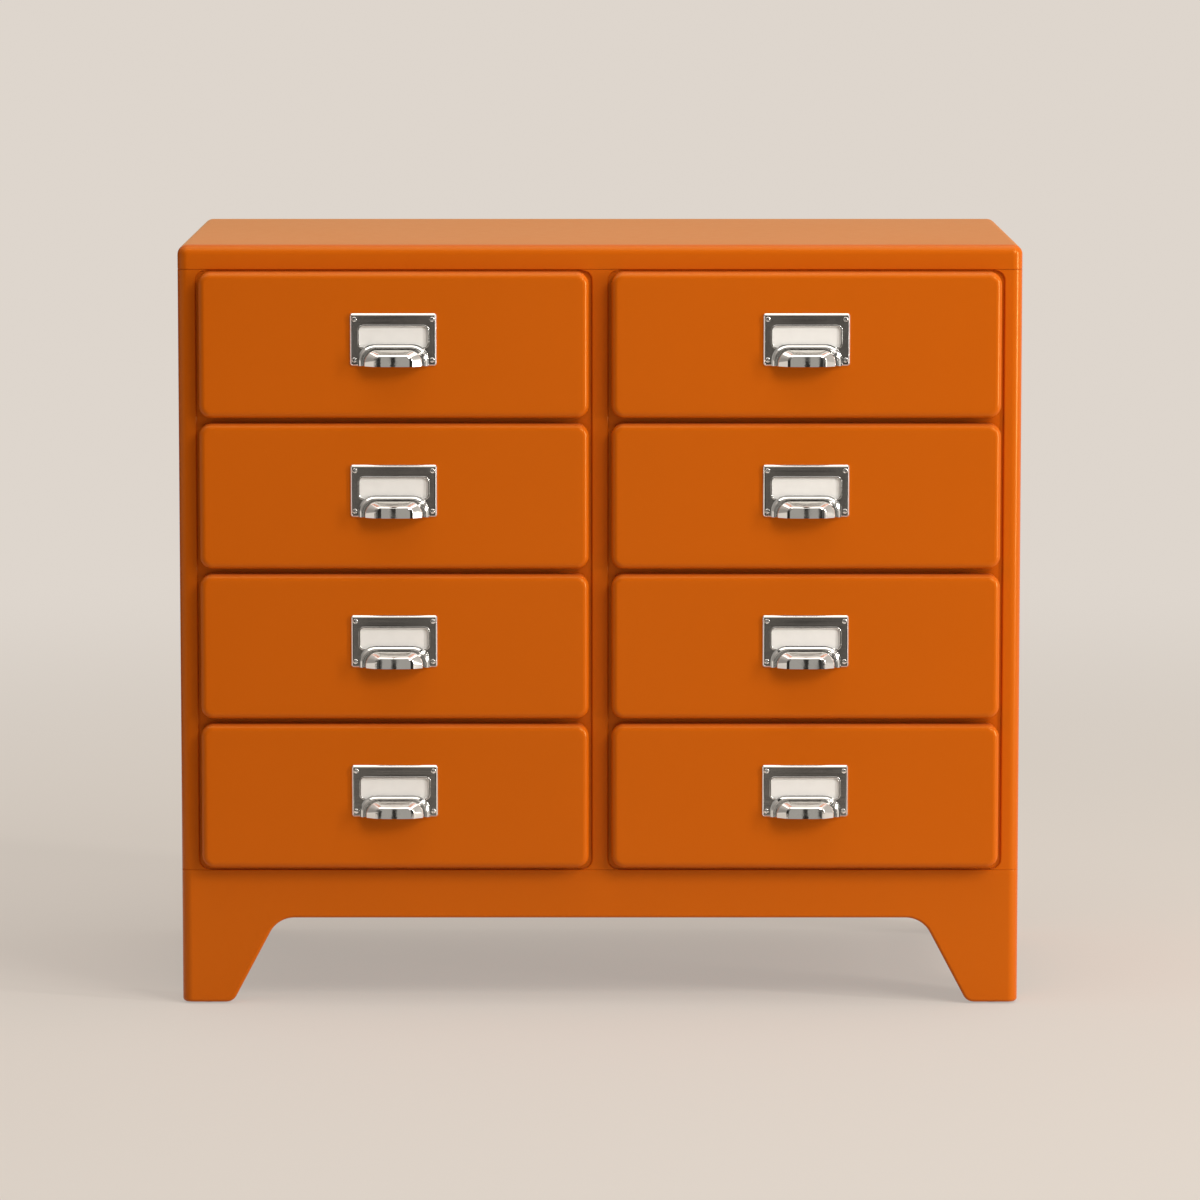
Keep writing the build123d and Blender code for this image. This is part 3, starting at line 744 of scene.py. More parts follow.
class CABINET_OT_mullion(bpy.types.Operator):
    """Fold the channel between the two columns of drawers"""

    bl_idname = "cabinet.mullion"
    bl_label = "Mullion"

    def section(self, sizes, half, reach, inner):
        """Plan of one side of the channel, from its left lip to its right one."""
        skin = sizes.sheet if inner else 0.0
        lip = half + sizes.stop_lip - skin
        front = min(half + reach - skin, lip) if inner else half + reach
        bend = max(sizes.bend_radius - skin, LEAST_BEND)
        step = sizes.lip_recess + skin
        points = [(-front, step), (-front, skin), (front, skin), (front, step)]
        left = [Vector((-lip, sizes.post_return)), Vector((-lip, step))]
        right = [Vector((lip, step)), Vector((lip, sizes.post_return))]
        return left + rounded_path(points, (bend, bend)) + right

    def execute(self, context):
        sizes = context.scene.cabinet_sizes
        low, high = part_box("centre_mullion")
        half = (high.x - low.x) / 2 - sizes.opening_radius

        def plan(reach, inner):
            """Plan of one side of the channel."""
            return self.section(sizes, half, reach, inner)

        bm = fold_sheet(low, high, sizes.opening_radius, plan)
        add_painted("folded_mullion", bm, "centre_mullion")
        return {"FINISHED"}


def turn_arc(centre, radius, start, end, steps, inward):
    """Points on an arc of a leg's outline with the direction towards the sheet at each."""
    for step in range(steps + 1):
        angle = start + (end - start) * step / steps
        out = (math.cos(angle), math.sin(angle))
        point = (centre[0] + radius * out[0], centre[1] + radius * out[1])
        yield point, (-out[0], -out[1]) if inward else out


def leg_outline(sizes, span, floor_z, apron_z):
    """Lower edge of one side of the base from end to end, each point with the direction to the sheet."""
    angle = sizes.leg_angle
    turn = QUARTER - angle
    toe, root = sizes.toe_radius, sizes.leg_top_radius
    toe_x = span / 2 - sizes.foot_width
    root_x = toe_x - (apron_z - floor_z) * math.tan(angle)
    toe_run, root_run = toe * math.tan(turn / 2), root * math.tan(turn / 2)
    end = span / 2 - sizes.corner_radius
    half = [((-end, floor_z), (0, 1)), ((sizes.base_return - span / 2, floor_z), (0, 1))]
    half += turn_arc((-toe_x - toe_run, floor_z + toe), toe, -QUARTER, turn - QUARTER, 8, True)
    half += turn_arc((-root_x + root_run, apron_z - root), root, QUARTER + turn, QUARTER, 14, False)
    half += [((-root_x * share, apron_z), (0, 1)) for share in (0.75, 0.5, 0.25)]
    return half + [((0, apron_z), (0, 1))] + [((-x, z), (-nx, nz)) for (x, z), (nx, nz) in reversed(half)]


class CABINET_OT_leg_base(bpy.types.Operator):
    """Fold the base: apron and splayed legs with rounded, turned-in edges, and a plate in each foot"""

    bl_idname = "cabinet.leg_base"
    bl_label = "Leg Base"

    def walk(self, sizes, width, depth, floor_z, apron_z):
        """Round the lower edge: place in plan, inward, along, height, shift to the sheet, depth limit."""
        radius = sizes.corner_radius
        quarter_turns = ((width, depth), (depth, width), (width, depth), (depth, width))
        for turn, (span, across) in enumerate(quarter_turns):
            spin = Matrix.Rotation(turn * QUARTER, 2)
            along, inward = spin @ Vector((1, 0)), spin @ Vector((0, 1))
            for (u, z), (nu, nz) in leg_outline(sizes, span, floor_z, apron_z):
                limit = min(sizes.base_return, span / 2 - abs(u))
                yield spin @ Vector((u, -across / 2)), inward, along, z, nu, nz, limit
            centre = Vector((span / 2 - radius, radius - across / 2))
            for step in range(1, 10):
                angle = step / 10 * QUARTER
                out = Vector((math.sin(angle), -math.cos(angle)))
                face = Vector((math.cos(angle), math.sin(angle)))
                limit = radius - LEAST_BEND
                yield spin @ (centre + out * radius), spin @ -out, spin @ face, floor_z, 0.0, 1.0, limit

    def execute(self, context):
        sizes = context.scene.cabinet_sizes
        low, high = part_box("leg_base")
        width, depth, _ = high - low
        sheet, bend, seam = sizes.base_sheet, sizes.base_bend, sizes.seam_radius
        walk = list(self.walk(sizes, width, depth, low.z, high.z - sizes.apron_height))
        middle = (low + high) / 2

        def lower(offset, inset):
            """Loop beside the lower edge: offset up the sheet and inset behind its face."""
            loop = []
            for place, inward, along, z, nu, nz, limit in walk:
                point = place + along * nu * offset + inward * min(inset, limit)
                loop.append((middle.x + point.x, middle.y + point.y, z + nz * offset))
            return loop

        def upper(drop, inset):
            """Loop beside the upper edge."""
            loop = []
            for place, inward, *_, limit in walk:
                point = place + inward * min(inset, limit)
                loop.append((middle.x + point.x, middle.y + point.y, high.z - drop))
            return loop

        loops = [upper(drop, inset) for inset, drop in quarter_round(seam, 3)][::-1]
        loops += [lower(drop, inset) for inset, drop in quarter_round(bend, 6)]
        loops += [lower(0.0, sizes.base_return), lower(sheet, sizes.base_return), lower(sheet, sheet)]
        loops += [upper(sheet, sheet), upper(sheet, sizes.base_return), upper(0.0, sizes.base_return)]
        bm = bmesh.new()
        loft(bm, loops, joined=True)
        toe_run = sizes.toe_radius * math.tan((QUARTER - sizes.leg_angle) / 2)
        inner, outer, gap = sizes.foot_width - toe_run, 0.0016, 0.0001
        plate = [(inner, outer), (inner, inner), (outer, inner)]
        radius = sizes.corner_radius
        reach = radius - outer
        for step in range(7):
            angle = step / 6 * QUARTER
            plate.append((radius - reach * math.cos(angle), radius - reach * math.sin(angle)))
        levels = (low.z + gap, low.z + sheet - gap)
        for sx in (-1, 1):
            for sy in (-1, 1):
                corner = (middle.x + sx * width / 2, middle.y + sy * depth / 2)
                outline = [(corner[0] - sx * u, corner[1] - sy * v) for u, v in plate]
                loft(bm, [[(x, y, z) for x, y in outline] for z in levels], caps=(True, True))
        add_painted("folded_leg_base", bm, "leg_base")
        return {"FINISHED"}


class CABINET_OT_glides(bpy.types.Operator):
    """Turn the round nylon glides under the feet"""

    bl_idname = "cabinet.glides"
    bl_label = "Glides"

    def execute(self, context):
        sizes = context.scene.cabinet_sizes
        base_low, base_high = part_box("leg_base")
        low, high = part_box("glides")
        radius, stem, taper = 0.0138, 0.004, 0.0006
        disc, top = base_low.z - low.z, high.z - low.z
        profile = [(0.0, radius * 0.6), (0.0, radius - 0.0006), (0.0002, radius - 0.0002), (0.0005, radius)]
        profile += [(disc, radius), (disc, stem), (top - taper, stem), (top, stem - taper)]
        bm = bmesh.new()
        reach = sizes.foot_width / 2
        for x in (base_low.x + reach, base_high.x - reach):
            for y in (base_low.y + reach, base_high.y - reach):
                loops = [[(x + u, y + v, low.z + z) for u, v in circle(ring, 32)] for z, ring in profile]
                loft(bm, loops, caps=(True, True))
        mesh = finish_mesh(bm, "round_glides", nylon_material())
        add_piece("round_glides", mesh, "carcass", "black_nylon", "glides")
        return {"FINISHED"}


class CABINET_OT_cross_rails(bpy.types.Operator):
    """Fold the rails behind the gaps round the drawers, with small gussets in their corners"""

    bl_idname = "cabinet.cross_rails"
    bl_label = "Cross Rails"

    def channel(self, bm, sizes, x_span, y_span, z_span):
        """One rail: a channel that is open to the back."""
        skin, bend = sizes.sheet, 0.0008
        (front, rear), (bottom, top) = y_span, z_span
        rows = []
        for inset, radius in ((0.0, bend), (skin, LEAST_BEND)):
            face, ceiling, floor = front + inset, top - inset, bottom + inset
            corners = [(rear, ceiling), (face, ceiling), (face, floor), (rear, floor)]
            side = rounded_path(corners, (radius, radius), 4)
            rows.append([[(x, y, z) for y, z in side] for x in x_span])
        strip_sheet(bm, *rows)

    def gusset(self, bm, sizes, corner, front, inward, upward):
        """Small web that closes the corner between a rail and a lip."""
        loops = []
        for y in (front + HAIR, front + sizes.sheet):
            loops.append([(corner[0] + inward * x, y, corner[1] + upward * z) for x, z in GUSSET_OUTLINE])
        loft(bm, loops, caps=(True, True))

    def execute(self, context):
        sizes = context.scene.cabinet_sizes
        low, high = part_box("cross_rails")
        inner_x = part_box("centre_mullion")[1].x - sizes.opening_radius + sizes.stop_lip
        fronts = [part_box(f"drawer_front_left_{row}") for row in ROWS]
        lap = sizes.rail_overlap
        spans = [(fronts[0][1].z - lap, high.z)]
        spans += [(below[1].z - lap, above[0].z + lap) for above, below in zip(fronts, fronts[1:])]
        spans.append((low.z, fronts[-1][0].z + lap))
        bm = bmesh.new()
        for x_span in ((low.x, -inner_x), (inner_x, high.x)):
            for place, (bottom, top) in enumerate(spans):
                self.channel(bm, sizes, x_span, (low.y, high.y), (bottom, top))
                for x, inward in zip(x_span, (1, -1)):
                    if place > 0:
                        self.gusset(bm, sizes, (x, top), low.y, inward, 1)
                    if place < len(ROWS):
                        self.gusset(bm, sizes, (x, bottom), low.y, inward, -1)
        add_painted("folded_rails", bm, "cross_rails")
        return {"FINISHED"}


class CABINET_OT_inner_sheets(bpy.types.Operator):
    """Finish the plain sheets, runners and bolts inside the body"""

    bl_idname = "cabinet.inner_sheets"
    bl_label = "Inner Sheets"

    def execute(self, context):
        finishes = {
            paint_material(): ("back_panel", "floor_pan", "centre_partition"),
            zinc_material(): ("drawer_runners", "carcass_bolts"),
        }
        for material, nodes in finishes.items():
            for node in nodes:
                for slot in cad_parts[node].material_slots:
                    slot.material = material
        return {"FINISHED"}


class CABINET_OT_drawer_fronts(bpy.types.Operator):
    """Press the drawer fronts: pillow edges, a flat face and a turned-in rear edge"""

    bl_idname = "cabinet.drawer_fronts"
    bl_label = "Drawer Fronts"

    def execute(self, context):
        sizes = context.scene.cabinet_sizes
        width, depth, height = node_size("drawer_front_left_1")
        profile = pan_profile(
            depth,
            sizes.sheet,
            sizes.front_edge_radius,
            sizes.seam_radius,
            sizes.front_return,
            rings=(0.004, 0.012),
            inner_steps=5,
        )
        loops = []
        for inset, y in profile:
            radius = sizes.front_corner_radius - inset
            loop = rounded_loop(width - 2 * inset, height - 2 * inset, radius, 10)
            loops.append([(x, y - depth / 2, z) for x, z in loop])
        bm = bmesh.new()
        loft(bm, loops, caps=(True, True))
        mesh = finish_mesh(bm, "pillow_front", paint_material())
        add_drawer_pieces("drawer_front", "pillow_front", mesh, "orange_paint")
        return {"FINISHED"}


class CABINET_OT_drawer_boxes(bpy.types.Operator):
    """Fold the drawer boxes: a tray with a rolled hem and two stop lugs"""

    bl_idname = "cabinet.drawer_boxes"
    bl_label = "Drawer Boxes"

    def execute(self, context):
        sizes = context.scene.cabinet_sizes
        front_low, front_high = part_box("drawer_front_left_1")
        low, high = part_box("drawer_box_left_1")
        size = high - low
        clearance, corner, lug_bevel = 0.003, 0.003, 0.0004
        floor_ring, fold, inner_fold = 0.010, 0.002, 0.0012
        width = front_high.x - front_low.x - clearance
        sheet, hem = sizes.box_sheet, sizes.hem_thickness
        top, bottom = size.z / 2, -size.z / 2
        profile = [(floor_ring, bottom)]
        profile += [(inset, bottom + drop) for inset, drop in quarter_round(fold, 4)][::-1]
        profile += [(inset, top - drop) for inset, drop in quarter_round(hem / 2, 4)]
        profile += [(hem - inset, top - drop) for inset, drop in quarter_round(hem / 2, 4)][::-1]
        profile += [(hem, top - sizes.hem_height), (sheet, top - sizes.hem_height)]
        profile += [(sheet + inset, bottom + sheet + drop) for inset, drop in quarter_round(inner_fold, 4)]
        profile += [(floor_ring, bottom + sheet)]
        loops = []
        for inset, z in profile:
            loop = rounded_loop(width - 2 * inset, size.y - 2 * inset, corner - inset, 5)
            loops.append([(x, y, z) for x, y in loop])
        bm = bmesh.new()
        loft(bm, loops, caps=(True, True))
        lug_low, lug_high = self.lug_place(low, high)
        for sign in (-1, 1):
            xs = sorted((sign * (width / 2 - sheet / 2), sign * size.x / 2))
            box_at(bm, (xs[0], lug_low.y, lug_low.z), (xs[1], lug_high.y, lug_high.z), lug_bevel)
        mesh = finish_mesh(bm, "drawer_tray", paint_material())
        add_drawer_pieces("drawer_box", "drawer_tray", mesh, "orange_paint")
        return {"FINISHED"}

    def lug_place(self, low, high):
        """Corners of a lug round the middle of the box, read from the points furthest to the side."""
        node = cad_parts["drawer_box_left_1"]
        tips = [vert.co for vert in node.data.vertices if vert.co.x > high.x - 1e-4]
        middle = (low + high) / 2
        first = Vector([min(tip[axis] for tip in tips) for axis in range(3)]) - middle
        last = Vector([max(tip[axis] for tip in tips) for axis in range(3)]) - middle
        return first, last


class CABINET_OT_pull_plates(bpy.types.Operator):
    """Stamp the label plates: a sloped rim, a sunk face and a window with a rolled edge"""

    bl_idname = "cabinet.pull_plates"
    bl_label = "Label Plates"

    def execute(self, context):
        sizes = context.scene.pull_sizes
        width, depth, height = node_size("pull_plate_left_1")
        skin, rim, sunk = sizes.plate_sheet, sizes.plate_rim, sizes.plate_sunk
        edge, bead = sizes.plate_bead, sizes.window_bead
        window = (width - 2 * (sizes.window_side + bead), sizes.window_height - 2 * bead)
        window_z = height / 2 - sizes.window_drop - sizes.window_height / 2

        def plate_loop(inset, y):
            """Loop round the plate."""
            loop = rounded_loop(width - 2 * inset, height - 2 * inset, sizes.plate_corner_radius - inset, 6)
            return [(x, y - depth / 2, z) for x, z in loop]

        def window_loop(spread_by, y):
            """Loop round the window."""
            radius = sizes.window_radius + spread_by
            loop = rounded_loop(window[0] + 2 * spread_by, window[1] + 2 * spread_by, radius, 6)
            return [(x, y - depth / 2, z + window_z) for x, z in loop]

        slope, ledge, step = 0.62 * edge, 0.0003, 0.0004
        near, far, rear = 0.06 * slope, 0.88 * slope, skin + ledge
        loops = [plate_loop(0.0, depth), plate_loop(0.0, slope), plate_loop(near, far)]
        loops += [plate_loop(far, near), plate_loop(slope, 0.0), plate_loop(edge, sunk)]
        loops += [plate_loop(edge + step, sunk), window_loop(bead + ledge, sunk)]
        unit_round = list(quarter_round(1.0, 6))
        loops += [window_loop(bead - bead / 2 * inset, sunk * drop) for inset, drop in unit_round]
        loops += [window_loop(bead / 2 * inset, bead / 2 * drop) for inset, drop in unit_round[-2::-1]]
        loops += [window_loop(0.0, rear), window_loop(bead, rear)]
        loops += [plate_loop(rim + step, rear), plate_loop(rim, rear + ledge), plate_loop(rim, depth)]
        bm = bmesh.new()
        loft(bm, loops, joined=True)
        mesh = finish_mesh(bm, "label_plate", plate_material())
        add_drawer_pieces("pull_plate", "label_plate", mesh, "chrome")
        return {"FINISHED"}


def arch(width, height, radius, steps=12):
    """Points of an arch with round shoulders, from its right foot over to its left foot."""
    radius = max(min(radius, width / 2 - 1e-6, height - 1e-6), 2e-5)
    points = [(width / 2, share * (height - radius)) for share in (0.0, 0.5)]
    for turn, side in enumerate((1, -1)):
        for step in range(steps + 1):
            angle = (turn + step / steps) * QUARTER
            x = side * (width / 2 - radius) + radius * math.cos(angle)
            points.append((x, height - radius + radius * math.sin(angle)))
        if side == 1:
            points += [((width / 2 - radius) * share, height) for share in (0.5, 0.0, -0.5)]
    return points + [(-width / 2, share * (height - radius)) for share in (0.5, 0.0)]


class CABINET_OT_pull_cups(bpy.types.Operator):
    """Draw the cups: a hood with soft shoulders on an arched flange with a rolled bead"""

    bl_idname = "cabinet.pull_cups"
    bl_label = "Cup Pulls"

    def outer_profile(self, sizes, projection):
        """Inset from the edge of the flange and height above the plate, from the plate out to the face."""
        rim, bead, crest = sizes.cup_rim, sizes.bead_width, sizes.bead_height
        groove, step = 0.36 * crest, 0.0002
        projection -= sizes.cup_bulge
        path = [
            (0.0, 0.0),
            (0.0, 0.0006),
            (sizes.flange_edge, 0.0007),
            (0.86 * bead, crest),
            (bead + step, groove),
            (rim + step, groove),
            (rim + sizes.cup_foot_inset, sizes.cup_foot_height),
            (rim + 0.76 * sizes.cup_face_inset, projection - 0.0011),
            (rim + 0.96 * sizes.cup_face_inset, projection),
            (rim + sizes.cup_face_inset, projection),
        ]
        radii = (0.0003, 0.0003, 0.0007, 0.0004, 0.0005, 0.0022, 0.0028, 0.0022)
        return [tuple(point) for point in rounded_path(path, radii, 6)]

    def execute(self, context):
        sizes = context.scene.pull_sizes
        width, projection, height = node_size("pull_cup_left_1")
        wall = sizes.cup_wall
        outer = self.outer_profile(sizes, projection)
        inner = []
        for inset, rise in outer:
            depth = max(rise - wall, 0.0) if inset > sizes.cup_rim else 0.0
            inner.append((max(inset + wall / 2, sizes.cup_rim + wall), depth))
        flange_radius, least_radius = 0.014, 0.002

        def radius_at(inset):
            """Round of the shoulders at an inset from the edge of the flange."""
            if inset < sizes.cup_rim:
                return flange_radius - inset * (flange_radius - sizes.cup_corner_radius) / sizes.cup_rim
            return max(sizes.cup_corner_radius - 0.72 * (inset - sizes.cup_rim), least_radius)

        def arch_loop(inset, rise, share=1.0):
            """Arch across the cup; a share below one draws it in towards the middle of the face."""
            on_hood = max(inset - sizes.cup_rim, 0.0)
            top = height - min(inset, sizes.cup_rim) - on_hood * sizes.cup_top_share
            points = arch(width - 2 * inset, top, radius_at(inset))
            half = width / 2 - inset
            bulge = sizes.cup_bulge * min(on_hood / sizes.cup_face_inset, 1.0) ** 2
            loop = []
            for x, z in points:
                out = rise + bulge * (1 - (x * share / half) ** 2)
                loop.append((x * share, projection / 2 - out, z * share - height / 2))
            return loop

        def side_loops(profile):
            """Loops of one side of the cup, from its foot to the middle of its face."""
            face_shares = (0.86, 0.7, 0.5, 0.3, 0.1)
            loops = [arch_loop(*point) for point in profile]
            return loops + [arch_loop(*profile[-1], share) for share in face_shares]

        bm = bmesh.new()
        outer_rows = loft(bm, side_loops(outer), closed=False)
        inner_rows = loft(bm, side_loops(inner), closed=False)
        bm.faces.new(outer_rows[-1])
        bm.faces.new(inner_rows[-1][::-1])
        outer_foot, inner_foot = outer_rows[0], inner_rows[0]
        for i in range(len(outer_foot) - 1):
            bm.faces.new((outer_foot[i], inner_foot[i], inner_foot[i + 1], outer_foot[i + 1]))
        for end in (0, -1):
            outer_edge, inner_edge = ([row[end] for row in rows] for rows in (outer_rows, inner_rows))
            for i in range(len(outer_edge) - 1):
                bm.faces.new((outer_edge[i], outer_edge[i + 1], inner_edge[i + 1], inner_edge[i]))
        bm.faces.new((outer_rows[-1][0], outer_rows[-1][-1], inner_rows[-1][-1], inner_rows[-1][0]))
        mesh = finish_mesh(bm, "cup_pull", chrome_material(), 40.0)
        add_drawer_pieces("pull_cup", "cup_pull", mesh, "chrome")
        return {"FINISHED"}


class CABINET_OT_label_cards(bpy.types.Operator):
    """Cut the blank label cards, each bowed a little behind its window"""

    bl_idname = "cabinet.label_cards"
    bl_label = "Label Cards"

    def execute(self, context):
        width, depth, height = node_size("label_card_left_1")
        columns, lines, bow_depth = 16, 4, 0.00012
        bm = bmesh.new()
        rows = []
        for front in (0, 1):
            for line in range(lines + 1):
                row = []
                for column in range(columns + 1):
                    share = column / columns
                    bow = bow_depth * math.sin(share * math.pi) if front else 0.0
                    y = depth / 2 - front * (depth - bow_depth) - bow
                    row.append((width * (share - 0.5), y, height * (line / lines - 0.5)))
                rows.append(row)
        back, face = rows[: lines + 1], rows[lines + 1:]
        loft(bm, [a + b[::-1] for a, b in zip(back, face)])
        bmesh.ops.holes_fill(bm, edges=bm.edges)
        mesh = finish_mesh(bm, "blank_card", card_material())
        add_drawer_pieces("label_card", "blank_card", mesh, "label_card")
        return {"FINISHED"}


class CABINET_OT_pull_screws(bpy.types.Operator):
    """Turn the slotted screws at the corners of the label plates"""

    bl_idname = "cabinet.pull_screws"
    bl_label = "Pull Screws"

    def half_head(self, bm, sizes, spin, place, sign):
        """Half of a domed head beside its slot."""
        radius, height = sizes.screw_radius, sizes.screw_height
        made = bmesh.new()
        loops = []
        for share, rise in HEAD_PROFILE:
            loops.append([(x, -rise * height, z) for x, z in circle(share * radius, 28)])
        loft(made, loops, caps=(True, True))
        cut = bmesh.ops.bisect_plane(
            made,
            geom=made.verts[:] + made.edges[:] + made.faces[:],
            plane_co=(sign * sizes.slot_width / 2, 0, 0),
            plane_no=(-sign, 0, 0),
            clear_outer=True,
        )
        rim = [item for item in cut["geom_cut"] if isinstance(item, bmesh.types.BMEdge)]
        bmesh.ops.edgeloop_fill(made, edges=rim)
        matrix = Matrix.Translation(place) @ Matrix.Rotation(spin, 4, "Y")
        bmesh.ops.transform(made, matrix=matrix, verts=made.verts)
        mesh = bpy.data.meshes.new("half head")
        made.to_mesh(mesh)
        made.free()
        bm.from_mesh(mesh)
        bpy.data.meshes.remove(mesh)

    def execute(self, context):
        sizes = context.scene.pull_sizes
        for turn, (side, row) in enumerate((side, row) for side in SIDES for row in ROWS):
            tag = f"{side}_{row}"
            low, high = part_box(f"pull_plate_{tag}")
            bm = bmesh.new()
            for corner, (sx, sz) in enumerate(((-1, -1), (-1, 1), (1, -1), (1, 1))):
                x = (low.x + high.x) / 2 + sx * ((high.x - low.x) / 2 - sizes.screw_inset_x)
                z = (low.z + high.z) / 2 + sz * ((high.z - low.z) / 2 - sizes.screw_inset_z)
                place = Vector((x, low.y, z))
                spin = math.radians((37 * (4 * turn + corner) + 20) % 180)
                for sign in (-1, 1):
                    self.half_head(bm, sizes, spin, place, sign)
                loops = []
                for ring, y in SHANK_PROFILE:
                    loops.append([(x + u, low.y + y, z + v) for u, v in circle(ring, 24)])
                loft(bm, loops, caps=(True, True))
            name = f"slotted_screws_{tag}"
            mesh = finish_mesh(bm, name, chrome_material(), 50.0)
            add_piece(name, mesh, f"drawer_{tag}", "chrome", f"pull_screws_{tag}")
        return {"FINISHED"}


class CABINET_OT_stage(bpy.types.Operator):
    """Set up the pale floor, the studio light and the camera"""

    bl_idname = "cabinet.stage"
    bl_label = "Studio Stage"

    def flat_sheet(self, name, corners, material):
        """Rectangle on the stage."""
        mesh = bpy.data.meshes.new(name)
        mesh.from_pydata(corners, [], [(0, 1, 2, 3)])
        mesh.materials.append(material)
        sheet = bpy.data.objects.new(name, mesh)
        bpy.context.scene.collection.objects.link(sheet)
        return sheet

    def lamp(self, name, place, target, size, power, tint):
        """Soft rectangular lamp that points at a target."""
        light = bpy.data.lights.new(name, "AREA")
        light.shape = "RECTANGLE"
        light.size, light.size_y = size
        light.energy = power
        light.color = tint
        lamp = bpy.data.objects.new(name, light)
        lamp.location = place
        lamp.rotation_euler = (Vector(target) - Vector(place)).to_track_quat("-Z", "Y").to_euler()
        bpy.context.scene.collection.objects.link(lamp)

    def floor_material(self, colours, near_share):
        """Matt paper floor that keeps the cabinet's shadow and fades into the pale backdrop further out."""
        material, tree, shader, place = start_material("pale studio floor")
        material.cycles.emission_sampling = "NONE"
        drift = add_drift(tree, place, colours.floor, scale=0.7, amount=0.01)
        tree.links.new(drift["Colour"], shader.inputs["Base Color"])
        shader.inputs["Roughness"].default_value = 0.9
        shader.inputs["Specular IOR Level"].default_value = 0.1
        glow = tree.nodes.new("ShaderNodeEmission")
        glow.inputs["Color"].default_value = opaque(colours.backdrop)
        path = tree.nodes.new("ShaderNodeLightPath")
        seen = maths(tree, "ADD", path.outputs["Is Camera Ray"], path.outputs["Is Glossy Ray"])
        seen = maths(tree, "ADD", seen, path.outputs["Is Transmission Ray"])
        away = tree.nodes.new("ShaderNodeVectorMath")
        away.operation = "LENGTH"
        tree.links.new(place, away.inputs[0])
        far = spread(tree, away.outputs["Value"], 0.7, 3.2, near_share, 1.0)
        mix = tree.nodes.new("ShaderNodeMixShader")
        tree.links.new(maths(tree, "MULTIPLY", maths(tree, "MINIMUM", seen, 1.0), far), mix.inputs["Fac"])
        tree.links.new(shader.outputs["BSDF"], mix.inputs[1])
        tree.links.new(glow.outputs["Emission"], mix.inputs[2])
        tree.links.new(mix.outputs["Shader"], tree.nodes["Material Output"].inputs["Surface"])
        return material

    def level(self, low, high, z):
        """Corners of a level rectangle."""
        return [(low[0], low[1], z), (high[0], low[1], z), (high[0], high[1], z), (low[0], high[1], z)]

    def standing(self, first, last, top):
        """Corners of a board that stands on the floor, between two places in plan."""
        return [(*first, 0.0), (*last, 0.0), (*last, top), (*first, top)]

    def reflection_card(self, name, corners, tint, strength):
        """Card that only reflections see, of an even brightness."""
        material = bpy.data.materials.new(name)
        material.use_nodes = True
        material.cycles.emission_sampling = "NONE"
        tree = material.node_tree
        tree.nodes.remove(tree.nodes["Principled BSDF"])
        glow = tree.nodes.new("ShaderNodeEmission")
        glow.inputs["Color"].default_value = opaque(tint)
        glow.inputs["Strength"].default_value = strength
        tree.links.new(glow.outputs["Emission"], tree.nodes["Material Output"].inputs["Surface"])
        card = self.flat_sheet(name, corners, material)
        card.visible_camera = False
        card.visible_diffuse = False
        card.visible_transmission = False
        card.visible_shadow = False

    def world(self, scene, colours, strength):
        """Studio walls: pale, dark towards the camera, dimmer at the left, with a warm low wall behind."""
        world = bpy.data.worlds.new("Studio")
        world.use_nodes = True
        tree = world.node_tree
        background = tree.nodes["Background"]
        parts = split_parts(tree, tree.nodes.new("ShaderNodeTexCoord").outputs["Generated"])
        leftward, forward, downward = (maths(tree, "MULTIPLY", parts[axis], -1.0) for axis in "XYZ")
        ahead = spread(tree, forward, 0.2, 0.8)
        left = spread(tree, leftward, 0.25, 0.85, 0.0, 0.5)
        low = spread(tree, downward, -0.75, -0.25)
        dark = maths(tree, "MULTIPLY", maths(tree, "MAXIMUM", ahead, left), low)
        not_behind = spread(tree, forward, -0.6, -0.2)
        high = spread(tree, parts["Z"], 0.2, 0.5)
        pale = maths(tree, "MAXIMUM", high, not_behind)
        walls = blend(tree, pale, opaque(colours.wall), opaque(colours.backdrop))
        tree.links.new(blend(tree, dark, walls, opaque(colours.shade)), background.inputs["Color"])
        background.inputs["Strength"].default_value = strength
        scene.world = world

    def boards(self, colours):
        """Dark and grey boards in front, a dark one at the left and a dark one overhead."""
        dark = self.standing((-DARK_HALF, DARK_Y), (DARK_HALF, DARK_Y), BOARD_TOP)
        self.reflection_card("studio_dark_board", dark, colours.shade, 0.4)
        foot = self.level((-DARK_HALF, DARK_Y), (DARK_HALF, FOOT_Y), 0.002)
        self.reflection_card("studio_dark_foot", foot, colours.shade, 0.4)
        for index, (left, right) in enumerate(GREY_SPANS):
            board = self.standing((left, GREY_Y), (right, GREY_Y), BOARD_TOP)
            self.reflection_card(f"studio_grey_board_{index}", board, colours.grey, 1.0)
            foot = self.level((left, GREY_Y), (right, FOOT_Y), 0.004)
            self.reflection_card(f"studio_grey_foot_{index}", foot, colours.grey, 1.0)
        side = self.standing((SIDE_X, SIDE_SPAN[0]), (SIDE_X, SIDE_SPAN[1]), SIDE_TOP)
        self.reflection_card("studio_side_board", side, colours.shade, 1.0)
        front = self.level((-CEILING_HALF, CEILING_FRONT), (CEILING_HALF, CEILING_MIDDLE), CEILING_Z)
        self.reflection_card("studio_front_board", front, colours.shade, 0.4)

    def cards(self):
        """White cards overhead and at the right."""
        ceiling = self.level((-CEILING_HALF, CEILING_MIDDLE), (CEILING_HALF, CEILING_BACK), CEILING_Z)
        self.reflection_card("studio_white_card", ceiling, CARD_WHITE, 1.8)
        self.reflection_card("studio_side_card", self.standing(*TALL_CARD, TALL_CARD_TOP), CARD_WHITE, 3.0)

